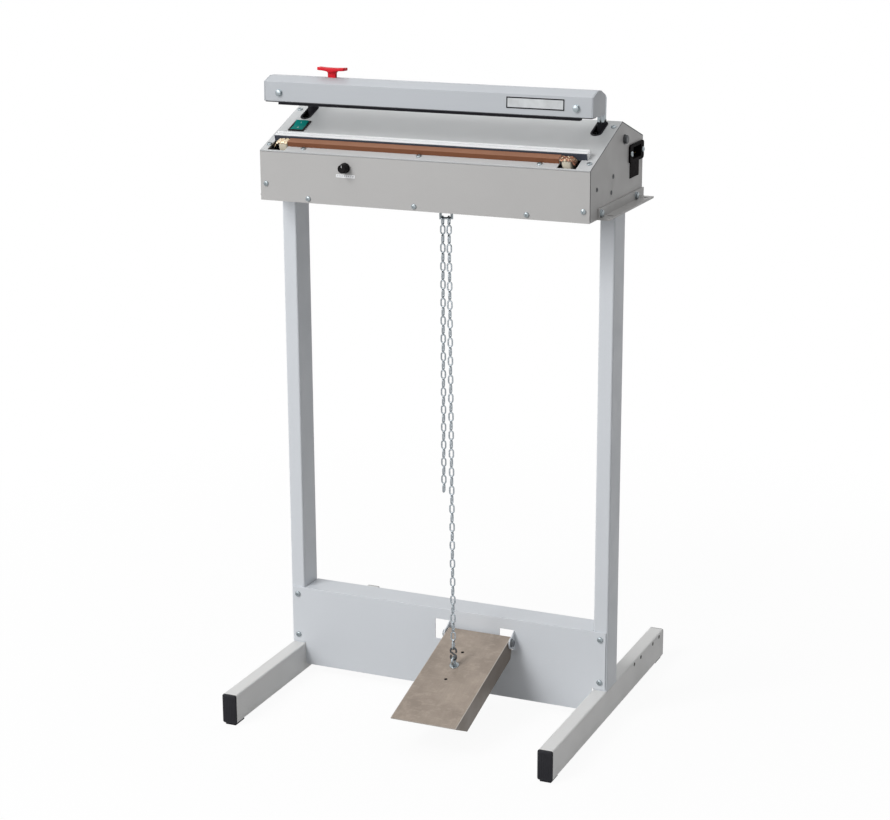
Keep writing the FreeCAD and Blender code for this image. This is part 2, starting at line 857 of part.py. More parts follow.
def heating_band():
    x0, x1 = seal_ends()
    middle = seal_front + seal_depth / 2
    top = seal_height - ptfe
    return on_slope(box(x0, x1, middle - band_width / 2, middle + band_width / 2, top - band_thickness, top))


def ptfe_cover():
    x0, x1 = seal_ends()
    high = seal_front + seal_depth
    path = [(high, 0), (high, seal_height), (seal_front, seal_height), (seal_front, 0)]
    return on_slope(prism(folded(path, ptfe), x0, x1))


def film_bar():
    low = seal_front + seal_depth + film_bar_gap
    high = low + film_bar_depth
    chamfer = film_bar_chamfer
    half = film_bar_length / 2
    outline = [(low, 0), (high, 0), (high, film_bar_height - chamfer), (high - chamfer, film_bar_height),
               (low + chamfer, film_bar_height), (low, film_bar_height - chamfer)]
    middle = crown_middle()
    groove = box(-half - 1, half + 1, middle - cutter_groove_width / 2, middle + cutter_groove_width / 2,
                 film_bar_height - cutter_groove_depth, film_bar_height + 1)
    return on_slope(prism(outline, -half, half).cut(groove))


def terminal_block(side):
    """Insulating block that leads the band round and down through its port."""
    end = seal_offset + side * seal_length / 2
    far = end + side * terminal_length
    middle = seal_front + seal_depth / 2
    y0 = middle - terminal_depth / 2
    top = seal_height - ptfe
    bend = top - terminal_round
    corner = far - side * terminal_round
    diagonal = terminal_round * math.sqrt(0.5)
    edges = [Part.LineSegment(V(end, y0, -terminal_drop), V(end, y0, top)),
             Part.LineSegment(V(end, y0, top), V(corner, y0, top)),
             Part.Arc(V(corner, y0, top), V(corner + side * diagonal, y0, bend + diagonal), V(far, y0, bend)),
             Part.LineSegment(V(far, y0, bend), V(far, y0, -terminal_drop)),
             Part.LineSegment(V(far, y0, -terminal_drop), V(end, y0, -terminal_drop))]
    wire = Part.Wire([edge.toShape() for edge in edges])
    return on_slope(Part.Face(wire).extrude(V(0, terminal_depth, 0)))


# Press arm, drawn closed

def arm_path():
    """Section of the folded arm cover: up the front, over the crown, down to the rear lip."""
    back = arm_front + arm_depth
    shoulder = arm_base + arm_face
    crown = shoulder + arm_crown
    return [(arm_front, arm_base), (arm_front, shoulder), (arm_front + arm_shoulder, crown),
            (back - arm_shoulder, crown), (back, shoulder), (back, shoulder - arm_back_lip)]


def crown_middle():
    return arm_front + arm_depth / 2


def crown_top():
    return arm_base + arm_face + arm_crown


def arm_bolt_seats():
    return [(side * side_arm_x, arm_base + arm_bolt_rise) for side in (-1, 1)]


def arm_cover():
    half = arm_length / 2 - arm_end_sheet
    solid = prism(folded(arm_path(), -arm_sheet), -half, half)
    middle = crown_middle()
    half_slot = cutter_slot_width / 2
    slot = box(-cutter_slot_half, cutter_slot_half, middle - half_slot, middle + half_slot,
               crown_top() - 2 * arm_sheet, crown_top() + 1)
    cuts = [slot]
    for x, z in arm_bolt_seats():
        cuts.append(shank(V(x, arm_front - 1, z), V(x, arm_front + 2 * arm_sheet, z), bolt_radius))
    return opened(solid.cut(cuts))


def arm_end(side):
    x0, x1 = sorted((side * (arm_length / 2 - arm_end_sheet), side * arm_length / 2))
    outline = arm_path()[:-1] + [(arm_front + arm_depth, arm_base)]
    return opened(prism(outline, x0, x1))


def bar_low():
    return seal_height + rubber_height + close_gap


def pressure_bar():
    half = arm_length / 2 - arm_end_sheet
    low = arm_front + arm_sheet
    return opened(box(-half, half, low, low + bar_depth, bar_low(), bar_low() + bar_height))


def pressure_rubber():
    low = seal_front + (seal_depth - rubber_depth) / 2
    half = rubber_length / 2
    return opened(box(-half, half, low, low + rubber_depth, bar_low() - rubber_height, bar_low()))


def side_plate_outline():
    """One side-arm plate about the pivot: lower limb, neck through the slot, upper limb and tail."""
    seat = bar_low() + bar_height - pivot_h
    front = arm_front + arm_sheet - pivot_s
    neck_back = neck_width - neck_front
    tail_turn = math.radians(tail_rise) - slope
    tail_s = tail_reach * math.cos(tail_turn)
    tail_h = tail_reach * math.sin(tail_turn)
    top = seat + limb_height
    cut = plate_corner
    return [(cut - neck_front, -limb_depth), (-neck_front, cut - limb_depth), (-neck_front, seat),
            (front, seat), (front, top), (neck_back - cut, top), (neck_back, top - cut),
            (neck_back, limb_depth), (0, limb_depth), (tail_s, tail_h + tail_end),
            (tail_s + tail_end, tail_h), (tail_s, tail_h - tail_end), (0, -limb_depth)]


def tail_point():
    tail_turn = math.radians(tail_rise) - slope
    return pivot_s + tail_reach * math.cos(tail_turn), pivot_h + tail_reach * math.sin(tail_turn)


def plate_spans(side):
    """The two plates of a side arm: x from, x to."""
    inner = plate_gap / 2
    outer = inner + plate_thickness
    x = side * side_arm_x
    return [(x - outer, x - inner), (x + inner, x + outer)]


def side_arm(side):
    tail_s, tail_h = tail_point()
    plates = []
    for x0, x1 in plate_spans(side):
        outline = [(pivot_s + s, pivot_h + h) for s, h in side_plate_outline()]
        plate = prism(outline, x0, x1)
        bores = [rod(V(x0 - 1, pivot_s, pivot_h), V(x1 + 1, pivot_s, pivot_h), shaft_radius),
                 shank(V(x0 - 1, tail_s, tail_h), V(x1 + 1, tail_s, tail_h), spring_pin_radius)]
        plates.append(opened(plate.cut(bores)))
    return plates


def spring_pin(side):
    tail_s, tail_h = tail_point()
    half = plate_gap / 2 + plate_thickness
    x = side * side_arm_x
    return opened(shank(V(x - half, tail_s, tail_h), V(x + half, tail_s, tail_h), spring_pin_radius))


def arm_bolts():
    size = (bolt_radius, arm_sheet, bolt_head_radius, bolt_head_height, hex_sides)
    return [opened(bolt(V(x, arm_front, h), V(0, -1, 0), *size)) for x, h in arm_bolt_seats()]


def pivot_shaft():
    half = half_head + shaft_overhang
    return rod(V(-half, pivot_y, pivot_z), V(half, pivot_y, pivot_z), shaft_radius)


def pivot_bush(side):
    inner = V(side * (half_head - bush_length), pivot_y, pivot_z)
    outer = V(side * half_head, pivot_y, pivot_z)
    return rod(inner, outer, bush_radius).cut(rod(inner, outer, shaft_radius + running_clearance))


# Return springs between the arms' tails and the base

def tail_place():
    """Where the spring pin lies with the arm open: y, z."""
    point = opened(Part.Vertex(V(0, *tail_point()))).Vertexes[0].Point
    return point.y, point.z


def return_spring(side):
    """Envelope of an extension spring with a hook at each end."""
    x = side * side_arm_x
    y, z = tail_place()
    top = z - spring_pin_radius - spring_gap
    high = top - (top - head_bottom - sheet - anchor_height - spring_length) / 2
    low = high - spring_length
    coil = flat_sided(V(x, y, low), V(x, y, high), spring_radius, 2 * shank_sides)
    upper = shank(V(x, y, high - 1), V(x, y, top), spring_hook_radius)
    lower = shank(V(x, y, head_bottom + sheet + anchor_height), V(x, y, low + 1), spring_hook_radius)
    return coil.fuse([upper, lower]).removeSplitter()


def spring_anchor(side):
    x = side * side_arm_x
    y, z = tail_place()
    half = anchor_size / 2
    low = head_bottom + sheet
    return box(x - half, x + half, y - half, y + half, low, low + anchor_height)


# Pull lever, rod and chain

def hook_seat():
    """Middle of the S-hook's lower wire, held in the eyebolt's eye, with the pedal at rest."""
    lift = eye_radius - eyebolt_wire - hook_wire - hook_eye_gap
    point = eye_centre().add(V(0, 0, lift))
    return on_pedal(Part.Vertex(point)).Vertexes[0].Point


def strand_change(radius):
    """How much longer the way from the lever's pin to the eyebolt is with pedal and arm fully down."""
    seat = hook_seat()
    pressed = Part.Vertex(seat)
    pressed.rotate(V(0, hinge_y, hinge_height), X_AXIS, pedal_travel)
    closed = Part.Vertex(V(0, pivot_y - radius, pivot_z))
    closed.rotate(V(0, pivot_y, pivot_z), X_AXIS, open_angle)
    rest = V(0, pivot_y - radius, pivot_z).sub(seat).Length
    return closed.Vertexes[0].Point.sub(pressed.Vertexes[0].Point).Length - rest


def lever_length():
    """Lever radius that keeps the chain's length the same with the arm open and closed."""
    short = lever_shortest
    long = lever_longest
    for step in range(40):
        middle = (short + long) / 2
        if strand_change(middle) > 0:
            short = middle
        else:
            long = middle
    return middle


lever_radius = lever_length()


def lever_pin_place():
    return V(0, pivot_y - lever_radius, pivot_z)


def strand_frame():
    """Unit vectors of the taut strand: across, along its normal, and up the strand."""
    up = lever_pin_place().sub(hook_seat()).normalize()
    across = X_AXIS.sub(V(up) * up.dot(X_AXIS)).normalize()
    return across, up.cross(across), up


def strand_point(across, normal, down):
    """A point given from the lever pin in the strand's own directions."""
    e, n, up = strand_frame()
    return lever_pin_place().add(V(e) * across).add(V(n) * normal).sub(V(up) * down)


def chain_port_centre():
    up = strand_frame()[2]
    drop = (pivot_z - head_bottom) / up.z
    point = lever_pin_place().sub(V(up) * drop)
    return point.x, point.y


def pull_lever():
    half = lever_hub_length / 2
    x0 = -rod_eye_width / 2 - link_gap - lever_thickness
    x1 = -rod_eye_width / 2 - link_gap
    tip = lever_pin_place()
    hub = flat_sided(V(-half, pivot_y, pivot_z), V(half, pivot_y, pivot_z), lever_hub_radius, lever_sides)
    wide = lever_taper * lever_hub_radius
    narrow = lever_taper * lever_tip_radius
    outline = [(pivot_y, pivot_z - wide), (pivot_y, pivot_z + wide),
               (tip.y, tip.z + narrow), (tip.y, tip.z - narrow)]
    arm = prism(outline, x0, x1)
    nose = flat_sided(V(x0, tip.y, tip.z), V(x1, tip.y, tip.z), lever_tip_radius, lever_sides)
    pin_end = rod_eye_width / 2 + link_gap
    pin = rod(V(x0, tip.y, tip.z), V(pin_end, tip.y, tip.z), lever_pin_radius)
    pin_top = V(pin_end + lever_pin_head_height, tip.y, tip.z)
    head = flat_sided(V(pin_end, tip.y, tip.z), pin_top, lever_pin_head, lever_sides)
    bore = rod(V(-half - 1, pivot_y, pivot_z), V(half + 1, pivot_y, pivot_z), shaft_radius)
    return hub.fuse([arm, nose]).fuse(pin).fuse(head).cut(bore)


def pull_rod():
    """Rod with an eye on the lever pin and a closed loop below the head for the chain."""
    tip = lever_pin_place()
    half = rod_eye_width / 2
    eye = flat_sided(V(-half, tip.y, tip.z), V(half, tip.y, tip.z), rod_eye_radius, lever_sides)
    bore = rod(V(-half - 1, tip.y, tip.z), V(half + 1, tip.y, tip.z), lever_pin_radius + running_clearance)
    stem = shank(strand_point(0, 0, rod_eye_radius - rod_radius), strand_point(0, 0, rod_length), rod_radius)
    corners = [strand_point(-loop_left, 0, rod_length), strand_point(loop_right, 0, rod_length),
               strand_point(loop_right, 0, rod_length + loop_height),
               strand_point(-loop_left, 0, rod_length + loop_height)]
    loop = wire_form(corners, strand_frame()[1], rod_radius, True, wire_sides)
    return eye.fuse([stem, loop]).cut(bore).removeSplitter()


def chain_link(length):
    """One oval link of the inner length given, upright about the origin, flat in XZ."""
    bend = link_width / 2 - chain_wire
    straight = length / 2 - bend + chain_wire
    angles = [math.pi * k / link_arc_steps for k in range(link_arc_steps + 1)]
    upper = [V(bend * math.cos(a), 0, straight + bend * math.sin(a)) for a in angles]
    lower = [V(-bend * math.cos(a), 0, -straight - bend * math.sin(a)) for a in angles]
    return wire_form(upper + lower, Y_AXIS, chain_wire, True, chain_sides)


def strand(top, up, across, count, pitch):
    """A row of links from the top point down, each turned a quarter turn from the last."""
    link = chain_link(pitch + link_gap - 2 * chain_wire)
    links = []
    normal = up.cross(across)
    for k in range(count):
        place = top.sub(V(up) * (pitch * (k + 0.5)))
        turned = normal if k % 2 == 0 else across
        depth = up.cross(turned)
        piece = link.copy()
        piece.Placement = FreeCAD.Placement(place, FreeCAD.Rotation(turned, depth, up, "ZXY"))
        links.append(piece)
    return links


def loop_bar_drop():
    return rod_length + loop_height


def hook_length():
    """Distance between the two wires that the S-hook carries, wire middle to wire middle."""
    return 4 * hook_radius


def chain_start():
    """Inner top of the first link's wire, just under the loop's lower bar."""
    return loop_bar_drop() - rod_radius - link_gap - chain_wire


def taut_chain():
    across, normal, up = strand_frame()
    whole = lever_pin_place().sub(hook_seat()).Length
    end = whole - hook_length() + hook_wire + link_gap + chain_wire
    run = end - chain_start()
    count = 2 * round((run / chain_pitch - 1) / 2) + 1
    return strand(strand_point(0, 0, chain_start()), up, across, count, run / count)


def spare_chain():
    across, normal, up = strand_frame()
    top = strand_point(-spare_offset, 0, loop_bar_drop())
    top = top.add(V(0, 0, rod_radius + link_gap + chain_wire))
    return strand(top, Z_AXIS, X_AXIS, spare_links, chain_pitch)


def s_hook():
    """Open S of wire: the upper bend carries the chain, the lower bend goes through the eyebolt."""
    across, normal, up = strand_frame()
    whole = lever_pin_place().sub(hook_seat()).Length
    top = whole - hook_length()
    points = []
    for k in range(hook_steps + 1):
        angle = math.radians(hook_start_angle + k * hook_sweep_angle / hook_steps)
        points.append((hook_radius * math.cos(angle), top + hook_radius * (1 - math.sin(angle))))
    lower = [(-a, 2 * top + hook_length() - d) for a, d in points]
    path = [strand_point(a, 0, d) for a, d in points] + [strand_point(a, 0, d) for a, d in lower[::-1]]
    return wire_form(path, normal, hook_wire, False, wire_sides)


# Cutter

def cutter_rail():
    """Channel under the crown that the cutter's carriage slides in."""
    middle = crown_middle()
    half = rail_width / 2
    top = crown_top() - arm_sheet
    low = top - rail_height
    reach = cutter_slot_half + carriage_length
    half_slot = cutter_slot_width / 2
    shell = box(-reach, reach, middle - half, middle + half, low, top)
    inner = box(-reach - 1, reach + 1, middle - half + rail_wall, middle + half - rail_wall,
                low + rail_wall, top - rail_wall)
    upper = box(-cutter_slot_half, cutter_slot_half, middle - half_slot, middle + half_slot,
                top - rail_wall - 1, top + 1)
    lower = box(-reach - 1, reach + 1, middle - half_slot, middle + half_slot, low - 1, low + rail_wall + 1)
    return opened(shell.cut([inner, upper, lower]))


def carriage_span():
    """Bottom and top of the carriage inside the rail."""
    low = crown_top() - arm_sheet - rail_height + rail_wall + cutter_gap
    return low, low + carriage_height


def cutter_carriage():
    middle = crown_middle()
    half = rail_width / 2 - rail_wall - cutter_gap
    low, high = carriage_span()
    x0 = cutter_x - carriage_length / 2
    x1 = cutter_x + carriage_length / 2
    return opened(box(x0, x1, middle - half, middle + half, low, high))


def cutter_handle():
    """T-handle: a stem through the crown's slot and a wing-shaped grip that thins and lifts to its ends."""
    middle = crown_middle()
    half = cutter_slot_width / 2 - cutter_gap
    base = carriage_span()[1]
    grip = crown_top() + cutter_stem_rise
    waist = cutter_stem_width / 2
    stem = box(cutter_x - waist, cutter_x + waist, middle - half, middle + half, base, grip + 1)
    tip = cutter_handle_width / 2
    deep = cutter_handle_depth / 2
    top = grip + cutter_handle_height
    high = top + cutter_wing_lift
    low = high - cutter_handle_tip
    corners = [(-tip, low), (-waist, grip), (waist, grip), (tip, low), (tip, high), (0, top), (-tip, high)]
    wing = [V(cutter_x + x, middle - deep, h) for x, h in corners]
    bar = Part.Face(Part.makePolygon(wing + wing[:1])).extrude(V(0, cutter_handle_depth, 0))
    return opened(bar.fuse(stem).removeSplitter())


def cutter_blade():
    """Pointed blade under the carriage, which reaches into the film bar's groove with the arm closed."""
    middle = crown_middle()
    top = carriage_span()[0]
    tip = film_bar_height - blade_bite
    reach = blade_length / 2
    face = middle - blade_thickness / 2
    left = cutter_x - reach
    right = cutter_x + reach
    corners = [V(left, face, top), V(right, face, top), V(right, face, tip + reach),
               V(cutter_x, face, tip), V(left, face, tip + reach)]
    return opened(Part.Face(Part.makePolygon(corners + corners[:1])).extrude(V(0, blade_thickness, 0)))


# Controls and power

def bezel_half():
    """Half size of the bezel's body, which fills the cut-out in the cover: x, up the slope."""
    half_x = rocker_width / 2 + rocker_gap + bezel_wall
    half_y = rocker_length / 2 + rocker_end_gap + bezel_wall
    return half_x, half_y


def rocker_pin(radius, bite):
    """Pin on the rocker's axis, which reaches into both walls of the bezel."""
    reach = rocker_width / 2 + rocker_gap + bite
    return rod(V(rocker_x - reach, rocker_reach, 0), V(rocker_x + reach, rocker_reach, 0), radius)


def switch_bezel():
    half_x, half_y = bezel_half()
    left = rocker_x - half_x
    right = rocker_x + half_x
    near = rocker_reach - half_y
    far = rocker_reach + half_y
    lip = box(left - bezel_lip, right + bezel_lip, near - bezel_lip, far + bezel_lip, 0, bezel_height)
    body = box(left, right, near, far, -bezel_depth, bezel_height)
    well = box(left + bezel_wall, right - bezel_wall, near + bezel_wall, far - bezel_wall,
               -bezel_depth + bezel_wall, bezel_height + 1)
    bore = rocker_pin(rocker_pin_radius + running_clearance, rocker_pin_bite + running_clearance)
    return on_slope(lip.fuse(body).removeSplitter().cut(well).cut(bore))


def power_rocker():
    """Rocker with a dished face, pressed at its lower end."""
    half = rocker_length / 2
    outline = [(-half, -rocker_floor), (half, -rocker_floor), (half, rocker_rise),
               (0, rocker_rise - rocker_dish), (-half, rocker_rise)]
    placed = [(rocker_reach + s, h) for s, h in outline]
    solid = prism(placed, rocker_x - rocker_width / 2, rocker_x + rocker_width / 2)
    solid.rotate(V(0, rocker_reach, 0), X_AXIS, rocker_tilt)
    return on_slope(solid.fuse(rocker_pin(rocker_pin_radius, rocker_pin_bite)).removeSplitter())


def timer_knob():
    """Fluted knob with a skirt, on a shaft that turns in the potentiometer."""
    z = head_bottom + knob_height
    seat = head_front - knob_gap
    skirt_face = V(knob_x, seat - knob_skirt, z)
    skirt = flat_sided(V(knob_x, seat, z), skirt_face, knob_skirt_radius, 2 * knob_flutes)
    turns = [math.pi * k / knob_flutes for k in range(2 * knob_flutes)]
    rim = [V(knob_x + (knob_radius - k % 2 * knob_flute_depth) * math.cos(a), seat - knob_skirt,
             z + (knob_radius - k % 2 * knob_flute_depth) * math.sin(a)) for k, a in enumerate(turns)]
    grip = Part.Face(Part.makePolygon(rim + rim[:1])).extrude(V(0, knob_skirt - knob_length, 0))
    shaft = rod(V(knob_x, seat - knob_skirt, z), V(knob_x, seat + knob_shaft_length, z), knob_shaft_radius)
    return skirt.fuse([grip, shaft]).removeSplitter()


def pot_back():
    return head_front + sheet + pot_length


def timer_pot():
    z = head_bottom + knob_height
    body = box(knob_x - pot_radius, knob_x + pot_radius, head_front + sheet, pot_back(), z - pot_radius,
               z + pot_radius)
    bore = rod(V(knob_x, head_front, z), V(knob_x, pot_back() - pot_wall, z),
               knob_shaft_radius + running_clearance)
    return body.cut(bore)


def timer_board():
    z = head_bottom + knob_height
    low = z - board_height / 2
    half = board_width / 2
    face = pot_back()
    return box(knob_x - half, knob_x + half, face, face + board_thickness, low, low + board_height)


def inlet_body_place():
    """Cut-out for the inlet's body in the right side plate: y from, y to, z from, z to."""
    return (inlet_front + inlet_body_inset, inlet_rear - inlet_body_inset,
            head_bottom + inlet_low + inlet_body_margin, head_bottom + inlet_high - inlet_body_margin)


def inlet_screw_cut(y, z):
    return shank(V(half_head - sheet - 1, y, z), V(half_head + inlet_flange + 1, y, z), housing_screw_radius)


def power_inlet():
    y0, y1, z0, z1 = inlet_body_place()
    flange = box(half_head, half_head + inlet_flange, inlet_front, inlet_rear, head_bottom + inlet_low,
                 head_bottom + inlet_high)
    flange = round_edges(flange, X_AXIS, inlet_corner)
    body = box(half_head - inlet_depth, half_head, y0, y1, z0, z1)
    floor = half_head - inlet_depth + inlet_wall
    socket = box(floor, half_head + inlet_flange + 1, y0 + inlet_wall, y1 - inlet_wall,
                 z0 + inlet_wall, z1 - inlet_wall)
    holes = [inlet_screw_cut(y, z) for y, z in inlet_screw_seats()]
    return flange.fuse(body).removeSplitter().cut([socket] + holes)


def inlet_pins():
    y0, y1, z0, z1 = inlet_body_place()
    middle = (y0 + y1) / 2
    height = (z0 + z1) / 2
    x0 = half_head - inlet_depth + inlet_wall
    places = [(middle - inlet_pin_spread, height - inlet_pin_rise), (middle, height + inlet_pin_rise),
              (middle + inlet_pin_spread, height - inlet_pin_rise)]
    half_y = inlet_pin_width / 2
    half_z = inlet_pin_height / 2
    return [box(x0, x0 + inlet_pin_length, y - half_y, y + half_y, z - half_z, z + half_z) for y, z in places]


def inlet_screw_seats():
    """Screws through the inlet's flange: y, z."""
    z = head_bottom + (inlet_low + inlet_high) / 2
    return [(y, z) for y in (inlet_front + inlet_screw_inset, inlet_rear - inlet_screw_inset)]


def fuse_top():
    return head_bottom + inlet_low - fuse_gap


def fuse_holder():
    """Fuse drawer below the inlet, let into the side plate."""
    low = head_bottom + fuse_low
    return box(half_head - fuse_depth, half_head + fuse_lip, fuse_front, fuse_rear, low, fuse_top())


def transformer_core():
    x = transformer_x
    y = transformer_y
    low = head_bottom + sheet
    half_x = core_width / 2
    half_y = core_depth / 2
    core = box(x - half_x, x + half_x, y - half_y, y + half_y, low, low + core_height)
    window = box(x - coil_width / 2, x + coil_width / 2, y - core_depth, y + core_depth,
                 low + (core_height - coil_height) / 2, low + (core_height + coil_height) / 2)
    return core.cut(window)


def transformer_coil():
    low = head_bottom + sheet + (core_height - coil_height) / 2
    x = transformer_x
    y = transformer_y
    half_x = coil_width / 2
    half_y = coil_depth / 2
    return box(x - half_x, x + half_x, y - half_y, y + half_y, low, low + coil_height)


def start_switch():
    """Switch on a bent post, which the lever presses at the end of its way down."""
    low = head_bottom + sheet
    top = low + switch_height
    half = switch_width / 2
    y = pivot_y - lever_radius + 2 * rod_eye_radius
    post_path = [(y + switch_depth, low), (y, low), (y, top)]
    stand = prism(folded(post_path, -sheet), switch_x - half, switch_x + half)
    body = box(switch_x - half, switch_x + half, y + sheet, y + switch_depth / 2, top - switch_body, top)
    return stand.fuse(body).removeSplitter()


SIDES = (-1, 1)
nodes = {
    "left_foot": [foot(-1)],
    "right_foot": [foot(1)],
    "foot_caps": [foot_cap(side, end) for side in SIDES for end in SIDES],
    "foot_pads": [foot_pad(side, end) for side in SIDES for end in SIDES],
    "left_post": [post(-1)],
    "right_post": [post(1)],
    "cross_panel": [cross_panel()],
    "panel_screws": [panel_screw(x, z) for x, z in panel_screw_seats()],
    "pedal_pivot_bolts": [pedal_pivot_bolt(face_x, way) for face_x, way in hinge_tabs()],
    "pedal_plate": [pedal_plate()],
    "eyebolt": [eyebolt()],
    "eyebolt_fasteners": eyebolt_fasteners(),
    "base_plate": [base_plate()],
    "post_nut_plates": [post_nut_plate(side) for side in SIDES],
    "head_bolts": [head_bolt(x, y) for x, y in head_bolt_seats()],
    "front_panel": [front_panel()],
    "left_side_plate": [side_plate(-1)],
    "right_side_plate": [side_plate(1)],
    "top_cover": [top_cover()],
    "slot_grommets": [slot_grommet(side) for side in SIDES],
    "housing_screws": housing_screws(),
    "bench_brackets": [bracket(side) for side in SIDES],
    "bracket_bolts": bracket_bolts(),
    "seal_bar": [seal_bar()],
    "heating_band": [heating_band()],
    "ptfe_cover": [ptfe_cover()],
    "film_bar": [film_bar()],
    "terminal_blocks": [terminal_block(side) for side in SIDES],
    "arm_cover": [arm_cover()],
    "arm_ends": [arm_end(side) for side in SIDES],
    "pressure_bar": [pressure_bar()],
    "pressure_rubber": [pressure_rubber()],
    "side_arms": side_arm(-1) + side_arm(1),
    "spring_pins": [spring_pin(side) for side in SIDES],
    "arm_bolts": arm_bolts(),
    "pivot_shaft": [pivot_shaft()],
    "pivot_bushes": [pivot_bush(side) for side in SIDES],
    "return_springs": [return_spring(side) for side in SIDES],
    "spring_anchors": [spring_anchor(side) for side in SIDES],
    "pull_lever": [pull_lever()],
    "pull_rod": [pull_rod()],
    "pull_chain": taut_chain(),
    "spare_chain": spare_chain(),
    "s_hook": [s_hook()],
    "cutter_rail": [cutter_rail()],
    "cutter_carriage": [cutter_carriage()],
    "cutter_handle": [cutter_handle()],
    "cutter_blade": [cutter_blade()],
    "switch_bezel": [switch_bezel()],
    "power_rocker": [power_rocker()],
    "timer_knob": [timer_knob()],
    "timer_pot": [timer_pot()],
    "timer_board": [timer_board()],
    "power_inlet": [power_inlet()],
    "inlet_pins": inlet_pins(),
    "fuse_holder": [fuse_holder()],
    "transformer_core": [transformer_core()],
    "transformer_coil": [transformer_coil()],
    "start_switch": [start_switch()],
}

os.makedirs("parts", exist_ok=True)
for name, solids in nodes.items():
    shape = solids[0] if len(solids) == 1 else Part.makeCompound(solids)
    shape.exportStep(f"parts/{name}.step")
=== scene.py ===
import math

import bmesh
import bpy
import numpy as np
from mathutils import Matrix, Vector


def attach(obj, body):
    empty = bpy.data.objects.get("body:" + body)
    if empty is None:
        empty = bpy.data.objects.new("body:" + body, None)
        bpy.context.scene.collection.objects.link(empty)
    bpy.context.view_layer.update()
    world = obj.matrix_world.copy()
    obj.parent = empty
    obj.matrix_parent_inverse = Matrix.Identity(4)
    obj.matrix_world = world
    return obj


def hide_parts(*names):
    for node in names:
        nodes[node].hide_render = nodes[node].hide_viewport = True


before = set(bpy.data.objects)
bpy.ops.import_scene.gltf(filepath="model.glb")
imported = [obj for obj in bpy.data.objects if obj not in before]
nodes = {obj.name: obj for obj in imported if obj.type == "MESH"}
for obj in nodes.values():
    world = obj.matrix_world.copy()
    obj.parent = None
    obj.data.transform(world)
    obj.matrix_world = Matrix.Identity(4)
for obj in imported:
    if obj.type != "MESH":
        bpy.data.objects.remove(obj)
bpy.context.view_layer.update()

MM = 0.001
TURN = 2 * math.pi
IDENTITY = Matrix.Identity(4)

# Places that the model's own sizes give, in millimetres. PIVOT and HINGE are y and z.
HEAD_FRONT = -115.5
HEAD_BOTTOM = 850.0
HALF_HEAD = 280.0
FRONT_TOP = 930.5
SLOPE_RISE = 55.5
SLOPE_RUN = 146.5
SLOPE = math.atan2(SLOPE_RISE, SLOPE_RUN)
PIVOT = (43.6, 956.4)
OPEN = math.radians(22.7)
ARM_FRONT = 12.2
SEAL_MIDDLE = 22.75
PANEL_FRONT = -27.0
POST_X = 277.5
FLANGE_FACE = 283.0
INLET_Z = 929.5
HINGE = (-40.25, 120.0)
PEDAL_SLOPE = math.radians(16.2)
PEDAL_TOP = HINGE[1] + 6.5
EYEBOLT_X = 60.0
EYEBOLT_Y = HINGE[0] - 87.0


def mm(x, y, z):
    """A point given in millimetres, in metres."""
    return Vector((x, y, z)) * MM


def turned(y, z, centre, angle):
    """A point of the YZ plane, turned about a centre."""
    c, s = math.cos(angle), math.sin(angle)
    dy, dz = y - centre[0], z - centre[1]
    return centre[0] + dy * c - dz * s, centre[1] + dy * s + dz * c


def on_slope(x, s, h):
    """A point of the head's slope: along X, up the slope from its front edge, and out of it."""
    c, k = math.cos(SLOPE), math.sin(SLOPE)
    return mm(x, HEAD_FRONT + s * c - h * k, FRONT_TOP + s * k + h * c)


def on_arm(x, s, h):
    """A point of the open arm, given in slope directions with the arm closed."""
    p = on_slope(x, s, h) / MM
    y, z = turned(p.y, p.z, PIVOT, -OPEN)
    return mm(x, y, z)


def on_pedal(x, y, z):
    """A point of the pedal at rest, given with the pedal level."""
    y, z = turned(y, z, HINGE, PEDAL_SLOPE)
    return mm(x, y, z)


# Materials

def linear(r, g, b):
    """A colour as it shows, of 0 to 255, as the linear colour that Blender takes."""
    def one(c):
        c /= 255
        return c / 12.92 if c <= 0.04045 else ((c + 0.055) / 1.055) ** 2.4
    return (one(r), one(g), one(b), 1)


def shade(colour, factor):
    return tuple(min(1, c * factor) for c in colour[:3]) + (1,)


def shader(tree, kind, operation=None, **values):
    """A new node with its values set. Underscores in a value's name stand for spaces."""
    node = tree.nodes.new("ShaderNode" + kind)
    if operation:
        node.operation = operation
    for name, value in values.items():
        node.inputs[name.replace("_", " ")].default_value = value
    return node


